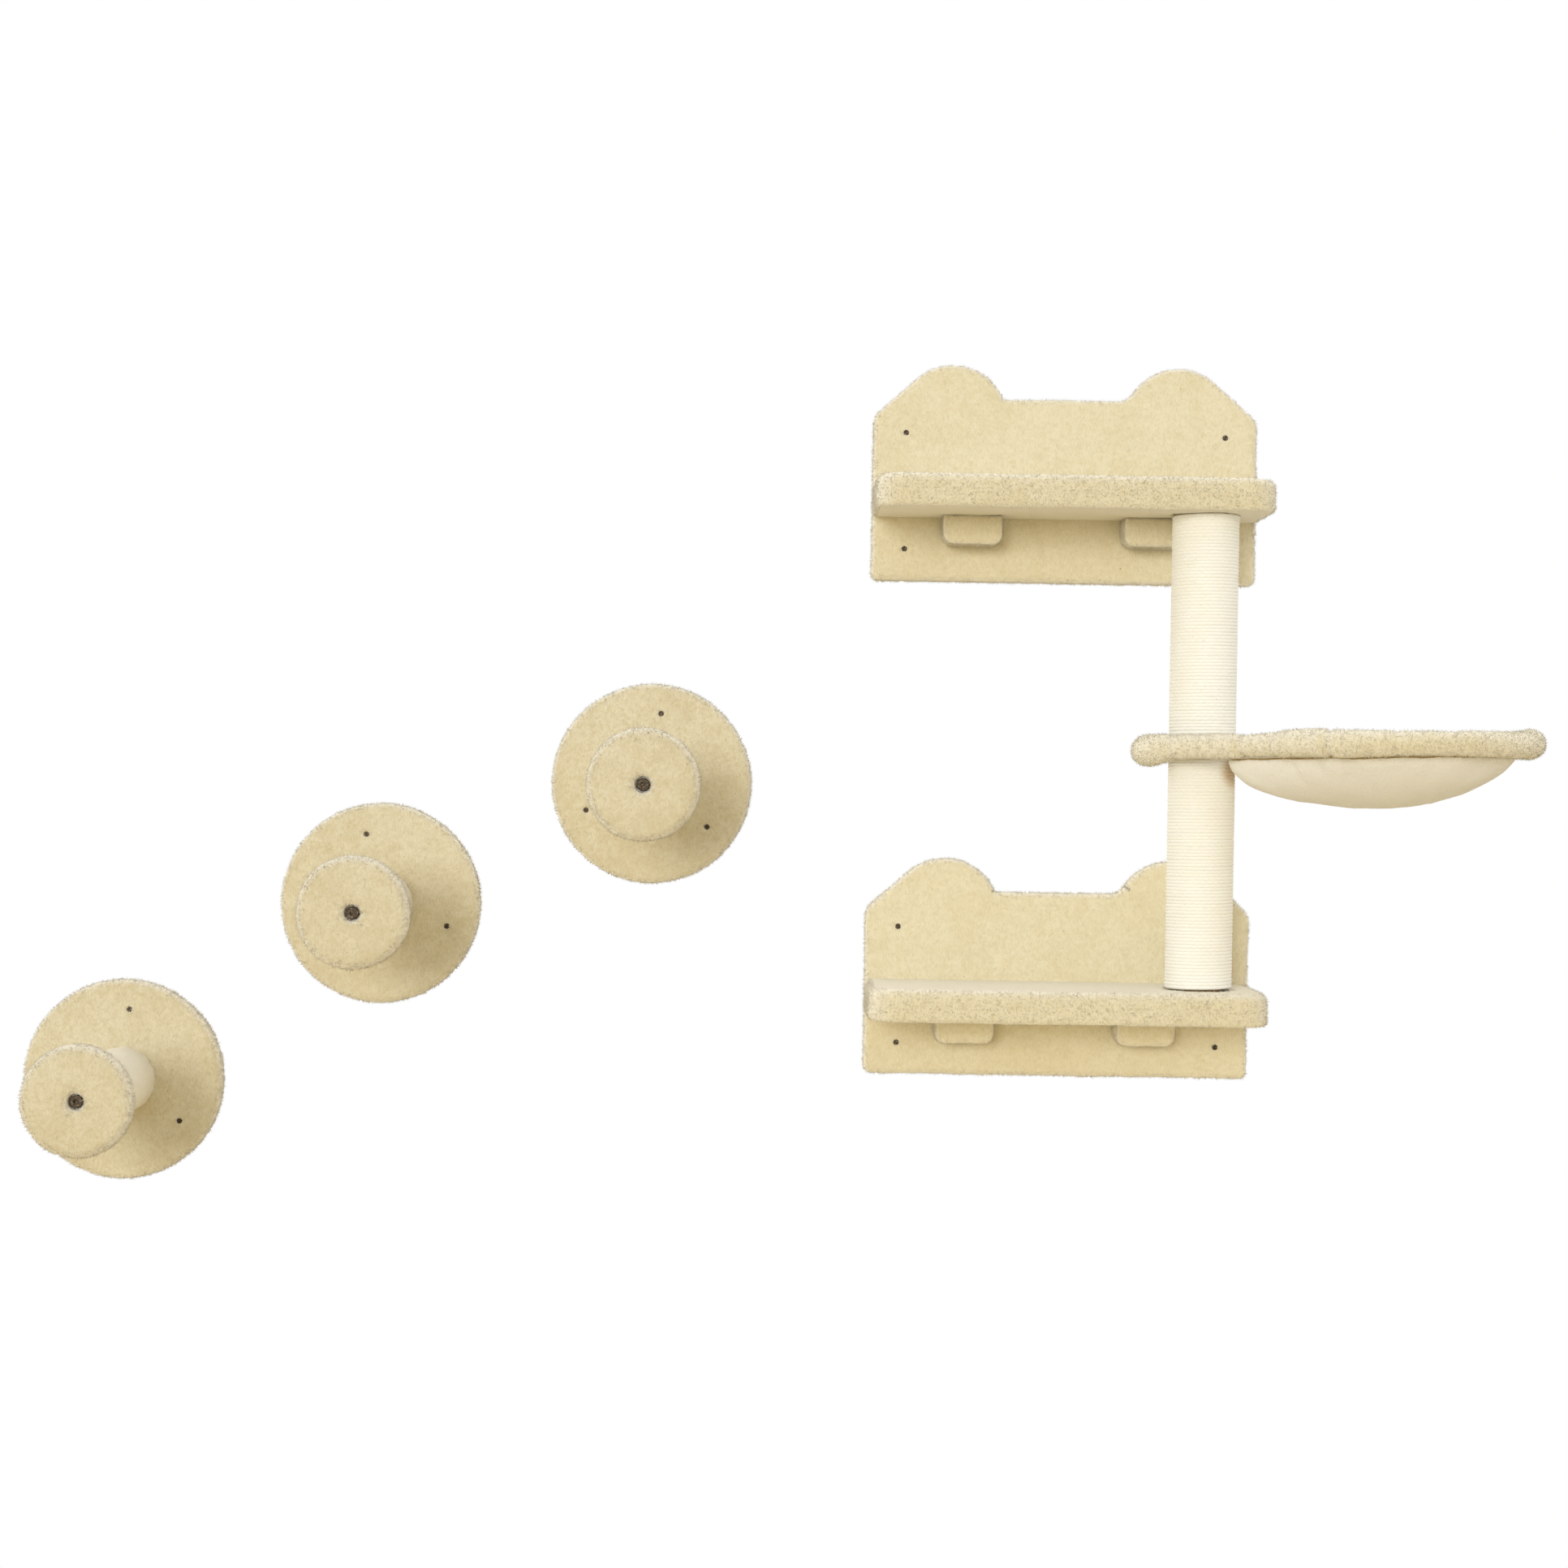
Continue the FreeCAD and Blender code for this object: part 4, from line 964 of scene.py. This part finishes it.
def frame_line(spacing):
    """(point, outward way) along the wire's centre line: collar, side, ring, side."""
    turn = pi / 2 + FLARE
    side = sqrt(RING_REACH**2 - (RING_RADIUS - COLLAR_RADIUS) ** 2)
    side_count = round(side / spacing)
    ring = Vector((RING_REACH, 0, 0))
    line = []
    sweep = 2 * (pi - turn)
    count = round(COLLAR_RADIUS * sweep / spacing)
    for k in range(count):
        a = turn + sweep * k / count
        line.append((Vector((COLLAR_RADIUS * cos(a), COLLAR_RADIUS * sin(a), 0)), heading(a)))
    way = heading(-turn)
    for k in range(side_count):
        line.append(((way * COLLAR_RADIUS).lerp(ring + way * RING_RADIUS, k / side_count), way))
    sweep = 2 * turn
    count = round(RING_RADIUS * sweep / spacing)
    for k in range(count):
        way = heading(-turn + sweep * k / count)
        line.append((ring + way * RING_RADIUS, way))
    way = heading(turn)
    for k in range(side_count):
        line.append(((ring + way * RING_RADIUS).lerp(way * COLLAR_RADIUS, k / side_count), way))
    return line


SLEEVE_SPACING = 2.6 * MM
SLEEVE_SIDES = 30
SLEEVE_OVAL = 0.03
SLEEVE_UNEVEN = 0.7 * MM
SLEEVE_LUMP = 45 * MM
SLEEVE_PILE = (0.5 * MM, 0.7 * MM, 0.45 * MM)
SLEEVE_SEAM = (1.30 * pi, 0.10, 1.3 * MM)  # angle round the sleeve, half width, depth
# creases across the sleeve's front: X at rest, half width, depth
SLEEVE_CREASES = ((0.100, 5 * MM, 1.4 * MM), (0.161, 3 * MM, 2.0 * MM), (0.187, 2.5 * MM, 1.8 * MM),
                  (0.2316, 2.2 * MM, 3.0 * MM), (0.290, 4 * MM, 1.0 * MM), (0.345, 3 * MM, 1.4 * MM))
# fuller and thinner stretches of the sleeve's front: X at rest, half width, change of radius
SLEEVE_FULLNESS = ((0.076, 17 * MM, 2.2 * MM), (0.135, 36 * MM, -1.1 * MM), (0.173, 13 * MM, -1.6 * MM),
                   (0.225, 30 * MM, 0.4 * MM), (0.340, 80 * MM, -1.7 * MM))
# where the padding has slipped down or the bag pulls the sleeve up: X at rest, half width, rise
SLEEVE_SHIFTS = ((0.074, 17 * MM, -2.6 * MM), (0.208, 26 * MM, 1.8 * MM), (0.420, 70 * MM, -2.2 * MM))


def hammock_sleeve():
    """Padded sleeve over the wire, with its seam at the lower inside."""
    skin = Skin()
    rows = []
    up = Vector((0, 0, 1))
    for centre, way in frame_line(SLEEVE_SPACING):
        place = hammock_place(centre)
        radius = SLEEVE_RADIUS + SLEEVE_UNEVEN * noise.noise(place / SLEEVE_LUMP)
        shift = 0.0
        if centre.y < 0:
            radius += bells(SLEEVE_FULLNESS, place.x) - bells(SLEEVE_CREASES, place.x)
            shift = bells(SLEEVE_SHIFTS, place.x)
        row = []
        for s in range(SLEEVE_SIDES):
            a = 2 * pi * s / SLEEVE_SIDES
            reach = radius * (1 + SLEEVE_OVAL * cos(2 * a)) - bells([SLEEVE_SEAM], a)
            row.append(hammock_place(centre + (way * cos(a) + up * sin(a)) * reach + up * shift))
        rows.append(skin.row(row))
    for a, b in zip(rows, rows[1:] + rows[:1]):
        skin.bridge(a, b)
    made = plush_piece("hammock_sleeve", skin, "hammock_sleeve", SLEEVE_PILE, body="hammock")


def bag_mouth():
    """Points round the bag's mouth: round at the far end, straight beside the post."""
    small = COLLAR_RADIUS - BAG_INSET
    large = RING_RADIUS - BAG_INSET
    turn = pi / 2 + FLARE
    setback = BAG_CORNER * tan((pi / 2 - FLARE) / 2)
    side_y = (small + BAG_LEFT * sin(FLARE)) / cos(FLARE)
    side_end = (BAG_LEFT + setback * cos(FLARE), side_y + setback * sin(FLARE))
    corner = (side_end[0] - cos(turn) * BAG_CORNER, side_end[1] - sin(turn) * BAG_CORNER)
    round_end = arc_points((RING_REACH, 0), large, -turn, turn, 90)
    arcs = [
        round_end,
        arc_points(corner, BAG_CORNER, turn, pi, 10),
        arc_points((corner[0], -corner[1]), BAG_CORNER, pi, 2 * pi - turn, 10),
        round_end[:1],
    ]
    return joined(arcs, (0, 22, 14, 22))[:-1]


BAG_LEFT = POST_RADIUS + BAG_POST_GAP
BAG_MIDDLE = (BAG_LEFT + RING_REACH + RING_RADIUS - BAG_INSET) / 2
BAG_HALF = BAG_MIDDLE - BAG_LEFT

# puckers where the bag is sewn to the sleeve: place round the mouth as an angle, half width, depth
BAG_PUCKERS = (
    (-2.20, 0.035, 5.0 * MM), (-1.93, 0.035, 4.5 * MM), (-1.64, 0.028, 9.0 * MM), (-1.4, 0.05, 2.5 * MM),
    (-0.98, 0.05, 3.2 * MM), (-0.55, 0.05, 1.8 * MM), (0.35, 0.06, 2.5 * MM), (1.2, 0.05, 3.0 * MM),
    (2.0, 0.06, 2.5 * MM), (2.75, 0.07, 2.0 * MM))
# rows from the mouth in to the middle
BAG_SHARES = (1.0, 0.995, 0.985, 0.97, 0.95, 0.925, 0.895, 0.86, 0.82, 0.77,
              0.72, 0.66, 0.6, 0.53, 0.46, 0.38, 0.3, 0.22, 0.14, 0.07)
PUCKER_LENGTH = 0.18  # share of the way in from the mouth
BAG_SLACK = 4.8 * MM
BAG_PILE = (1.3 * MM, 0.9 * MM, 0.35 * MM)


def bag_fullness(around):
    return BAG_FULLNESS - BAG_POST_FULLNESS * max(0.0, -cos(around))


def bag_point(x, y, share, wall):
    """Where the bag's cloth lies, at that share of the way out to a point of its mouth."""
    around = atan2(y, x - BAG_MIDDLE)
    fold = bells(BAG_PUCKERS, around) * bells([(1, PUCKER_LENGTH, 1)], share)
    fold *= min(1.0, (1 - share) / 0.02)
    slack = BAG_SLACK * (1 - share) * noise.noise(4 * heading(around) + Vector((0, 0, 6 * share)))
    reach = share - (wall if share > 0.1 else 0.0) / BAG_HALF - (fold + slack) / BAG_HALF
    height = wall - BAG_RIM_DROP - BAG_DEPTH * (1 - share**2) ** bag_fullness(around)
    return hammock_place(Vector((BAG_MIDDLE + (x - BAG_MIDDLE) * reach, y * reach, height)))


def hammock_bag():
    """Cloth bowl hung inside the ring: two faces a few millimetres apart, closed at the rim."""
    mouth = bag_mouth()
    skin = Skin()
    layers = []
    for wall in (0.0, BAG_WALL):
        rows = [skin.row([bag_point(x, y, share, wall) for x, y in mouth]) for share in BAG_SHARES]
        centre = skin.row([bag_point(BAG_MIDDLE, 0.0, 0.0, wall)])[0]
        layers.append(rows + [[centre] * len(mouth)])
    outside, inside = layers
    for a, b in zip(outside[:-1], outside[1:-1]):
        skin.bridge(a, b)
    for a, b in zip(inside[:-1], inside[1:-1]):
        skin.bridge(b, a)
    skin.bridge(inside[0], outside[0])
    for rows, flip in ((outside, True), (inside, False)):
        ring, centre = rows[-2], rows[-1][0]
        for i in range(len(ring)):
            j = (i + 1) % len(ring)
            skin.faces.append((ring[j], ring[i], centre) if flip else (ring[i], ring[j], centre))
    made = finish_piece("hammock_bag_plush", skin, "pale_plush", "hammock", ["hammock_bag"],
                        BAG_PILE)


SEAM_DROP = 4 * MM  # below the bag's rim, where the bag comes out from under the sleeve
SEAM_THICK = 0.9 * MM
SEAM_SIDES = 6
SEAM_WAVE = 1.3 * MM
SEAM_WAVELENGTH = 22 * MM
SEAM_STITCH = 7 * MM


def bag_seam():
    """Overlocked edge along the seam, darkened as a painted shadow under the sleeve's edge, drawn into waves
    between the puckers.
    """
    skin = Skin()
    rows = []
    middle = bag_point(BAG_MIDDLE, 0.0, 0.0, 0.0)
    up = Vector((0, 0, 1))
    for k, (x, y) in enumerate(bag_mouth()):
        fullness = bag_fullness(atan2(y, x - BAG_MIDDLE))
        place = bag_point(x, y, sqrt(1 - (SEAM_DROP / BAG_DEPTH) ** (1 / fullness)), 0.0)
        out = (place - middle) * Vector((1, 1, 0))
        out.normalize()
        flat = Vector((x, y, 0))
        place.z += SEAM_WAVE * noise.noise(flat / SEAM_WAVELENGTH)
        thick = SEAM_THICK * (1 + 0.35 * noise.noise(flat / SEAM_STITCH) + 0.12 * (-1) ** k)
        turns = [2 * pi * s / SEAM_SIDES for s in range(SEAM_SIDES)]
        rows.append(skin.row([place + (out * cos(a) + up * sin(a)) * thick for a in turns]))
    for a, b in zip(rows, rows[1:] + rows[:1]):
        skin.bridge(a, b)
    # painted shadow: the seam's dark line stands in for the shade under the sleeve's edge
    finish_piece("hammock_bag_seam_shadow", skin, "pale_plush", "hammock", finish="painted_seam_shadow")


# ---------------------------------------------------------------- steps
def turned(profile, count, x, z, ripple=None):
    """Surface turned about a step's axis from (radius, y) pairs; ripple moves points outward."""
    skin = Skin()
    rows = []
    for radius, y in profile:
        row = []
        for k in range(count):
            a = 2 * pi * k / count
            extra_r, extra_y = ripple(radius, y, a) if ripple else (0.0, 0.0)
            reach = radius + extra_r
            row.append((x + reach * cos(a), y + extra_y, z + reach * sin(a)))
        rows.append(skin.row(row, still=radius < RECESS_RADIUS + 1 * MM))
    for a, b in zip(rows, rows[1:]):
        skin.bridge(a, b)
    return skin


def disc_cover(name, x, z, turn):
    screws = []
    for k in range(3):
        a = pi / 2 - turn + 2 * pi * k / 3
        screws.append((SCREW_CIRCLE * cos(a), SCREW_CIRCLE * sin(a)))
    skin = wrapped_board(disc_outline, PANEL_EDGE, -DISC_THICK, 0.0, screws, hem=True)
    made = plush_piece(name + "_disc", shifted(skin, x, z), name + "_disc_cover", COVER_PILE,
                       flat=1, back=0.0, finish="step_plush")


CAP_PILE = (0.9 * MM, 0.6 * MM, 0.4 * MM)
CAP_POINTS = 132  # in one row round the cap
CAP_DOME = 1.5 * MM  # how far its face stands out in the middle
CAP_PLEAT = 1.1 * MM  # depth of the gathers behind it


def cap_cover(name, x, z, back, front):
    """Round cap's cover, drawn into the bolt's recess and gathered behind round the peg."""
    flat = CAP_RADIUS - CAP_EDGE
    lip = [(RECESS_RADIUS - 0.4 * MM, front + RECESS_DEPTH), (RECESS_RADIUS - 0.3 * MM, front + 3.2 * MM),
           (RECESS_RADIUS + 0.2 * MM, front + 0.8 * MM), (RECESS_RADIUS + 2.6 * MM, front)]
    rolled = lip[-1][0]  # where the face's plush rolls into the recess
    face = [(rolled + (flat - rolled) * k / 13, front) for k in range(1, 14)]
    fore = [(flat + CAP_EDGE * sin(t), front + CAP_EDGE * (1 - cos(t))) for t in QUARTER[1:]]
    side = [(CAP_RADIUS, (front + back) / 2)]
    rear = [(flat + CAP_EDGE * cos(t), back - CAP_EDGE * (1 - sin(t))) for t in QUARTER]
    under = [(flat - (flat - PEG_RADIUS) * k / 5, back) for k in range(1, 6)]

    def ripple(radius, y, a):
        shift = 0.0
        if y < front + 2 * MM:
            drawn = bells([(RECESS_RADIUS + 2.5 * MM, 5 * MM, 1)], radius)
            shift += drawn * (0.8 * MM + 0.5 * MM * cos(7 * a + 1.3 * sin(2 * a)))
        if y < front + 0.5 * MM:
            shift -= CAP_DOME * (1 - min(radius / flat, 1.0) ** 4)
        if y >= back:
            shift -= CAP_PLEAT * abs(cos(10 * a)) ** 4 * (flat - radius) / (flat - PEG_RADIUS)
        return 0.0, shift

    skin = turned(lip + face + fore + side + rear + under, CAP_POINTS, x, z, ripple)
    made = plush_piece(name + "_cap", skin, name + "_cap_cover", CAP_PILE, flat=1, finish="step_plush")


PEG_PILE = (0.4 * MM, 0.25 * MM, 0.12 * MM)
PEG_ROWS = 64
PEG_POINTS = 96
PEG_SEAM_AT = 1.42 * pi
# away from the seam's angle, half width, height: the drawn-in stitch and the plush beside it
PEG_SEAM = (0, 0.035, -1.3 * MM)
PEG_SEAM_EDGE = (0.09, 0.04, 0.5 * MM)
PEG_GATHER = 0.35 * MM
PEG_GATHER_WIDTH = 7 * MM


def peg_cover(name, x, z, back, front):
    """Short-napped tube round the peg, with its seam underneath."""
    length = back - front
    profile = [(PEG_RADIUS, front + length * k / PEG_ROWS) for k in range(PEG_ROWS + 1)]
    ends = [(end, PEG_GATHER_WIDTH, PEG_GATHER) for end in (front, back)]

    def ripple(radius, y, a):
        gather = bells(ends, y) * cos(14 * a + 2 * sin(3 * a))
        return bells([PEG_SEAM, PEG_SEAM_EDGE], abs(a - PEG_SEAM_AT)) + gather, 0.0

    skin = turned(profile, PEG_POINTS, x, z, ripple)
    made = finish_piece(name + "_peg_plush", skin, "smooth_plush", "wall_set",
                        [name + "_peg_cover"], PEG_PILE)


# ---------------------------------------------------------------- whole object
FLOOR_LEVEL = -1.5
FLOOR_SIDE = 5.0
FLOOR_END = 1.0  # behind the wall's plane, where the camera no longer looks down on it


def floor():
    """Pale floor that throws warm light up; the camera sees it as plain white as the backdrop."""
    mesh = bpy.data.meshes.new("floor")
    corners = [(-FLOOR_SIDE, -FLOOR_SIDE), (FLOOR_SIDE, -FLOOR_SIDE),
               (FLOOR_SIDE, FLOOR_END), (-FLOOR_SIDE, FLOOR_END)]
    mesh.from_pydata([(x, y, FLOOR_LEVEL) for x, y in corners], [], [(0, 1, 2, 3)])
    material = bpy.data.materials.new("pale_floor")
    tree = empty_tree(material)
    path = add(tree, "LightPath")
    paint = add(tree, "BsdfDiffuse", {"Color": linear("#CFC09A")})
    white = add(tree, "Emission", {"Color": linear("#FFFFFF"), "Strength": 1.0})
    seen = add(tree, "MixShader", [path.outputs["Is Camera Ray"], paint, white])
    side = add(tree, "NewGeometry")
    clear = add(tree, "BsdfTransparent")
    both = add(tree, "MixShader", [side.outputs["Backfacing"], seen, clear])
    add(tree, "OutputMaterial", {"Surface": both})
    mesh.materials.append(material)
    put("floor", mesh)


SKY_ABOVE = 0.95
SKY_BELOW = 0.5
BACKDROP = 0.9  # more, towards the white backdrop, which lights the rims


def white_world():
    """Soft overhead light that falls off towards the floor; the camera sees plain white."""
    world = bpy.data.worlds.new("studio")
    tree = empty_tree(world)
    path = add(tree, "LightPath")
    direct = add(tree, "Math", [path.outputs["Is Camera Ray"], path.outputs["Is Glossy Ray"]],
                 operation="MAXIMUM")
    direct = add(tree, "Math", [direct, path.outputs["Is Transmission Ray"]], operation="MAXIMUM")
    way = add(tree, "TexCoord")
    height = add(tree, "SeparateXYZ", [way.outputs["Generated"]])
    sky = add(tree, "MapRange", [height.outputs[2], -0.3, 0.9, SKY_BELOW, SKY_ABOVE])
    behind = add(tree, "MapRange", [height.outputs[1], 0.0, 0.8, 0.0, BACKDROP])
    strength = add(tree, "Math", [sky, behind], operation="ADD")
    fill = add(tree, "Background", {"Color": linear("#FFFAF0"), "Strength": strength})
    white = add(tree, "Background", {"Color": linear("#FFFFFF"), "Strength": 1.0})
    both = add(tree, "MixShader", [direct, fill, white])
    add(tree, "OutputWorld", {"Surface": both})
    bpy.context.scene.world = world


def dress_solids():
    """The solids that show as they are take their finish from the record's slots."""
    for part in frame["record"]["subparts"]:
        mesh = frame["nodes"][part["node"]].data
        mesh.materials.clear()
        mesh.materials.append(MATERIALS[part["material_slot"]])


place_camera()
dress_solids()
for unit, drop in (("upper", 0.0), ("lower", PANEL_DROP)):
    panel_cover(unit, drop)
    hem_staples(unit + "_panel_staples", panel_outline, 0.0, drop, seed=3)
    shelf_cover(unit, drop, post_on_top=unit == "lower")
    block_covers(unit, drop)
for half, seed in (("upper_post", 11), ("lower_post", 12)):
    rope_half(half + "_winding", half + "_rope", seed)
    stray_fibres(half + "_fibres", half + "_rope", seed)
hammock_sleeve()
hammock_bag()
bag_seam()
for step, turn in STEPS.items():
    low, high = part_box(step + "_disc_cover")
    x, z = (low.x + high.x) / 2, (low.z + high.z) / 2
    cap_low, cap_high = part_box(step + "_cap_cover")
    disc_cover(step, x, z, turn)
    hem_staples(step + "_disc_staples", disc_outline, x, z, seed=5)
    peg_cover(step, x, z, -DISC_THICK + 0.4 * MM, cap_high.y - 0.4 * MM)
    cap_cover(step, x, z, cap_high.y, cap_low.y)

floor()
white_world()
place_key()
bpy.context.scene.view_settings.view_transform = "Standard"
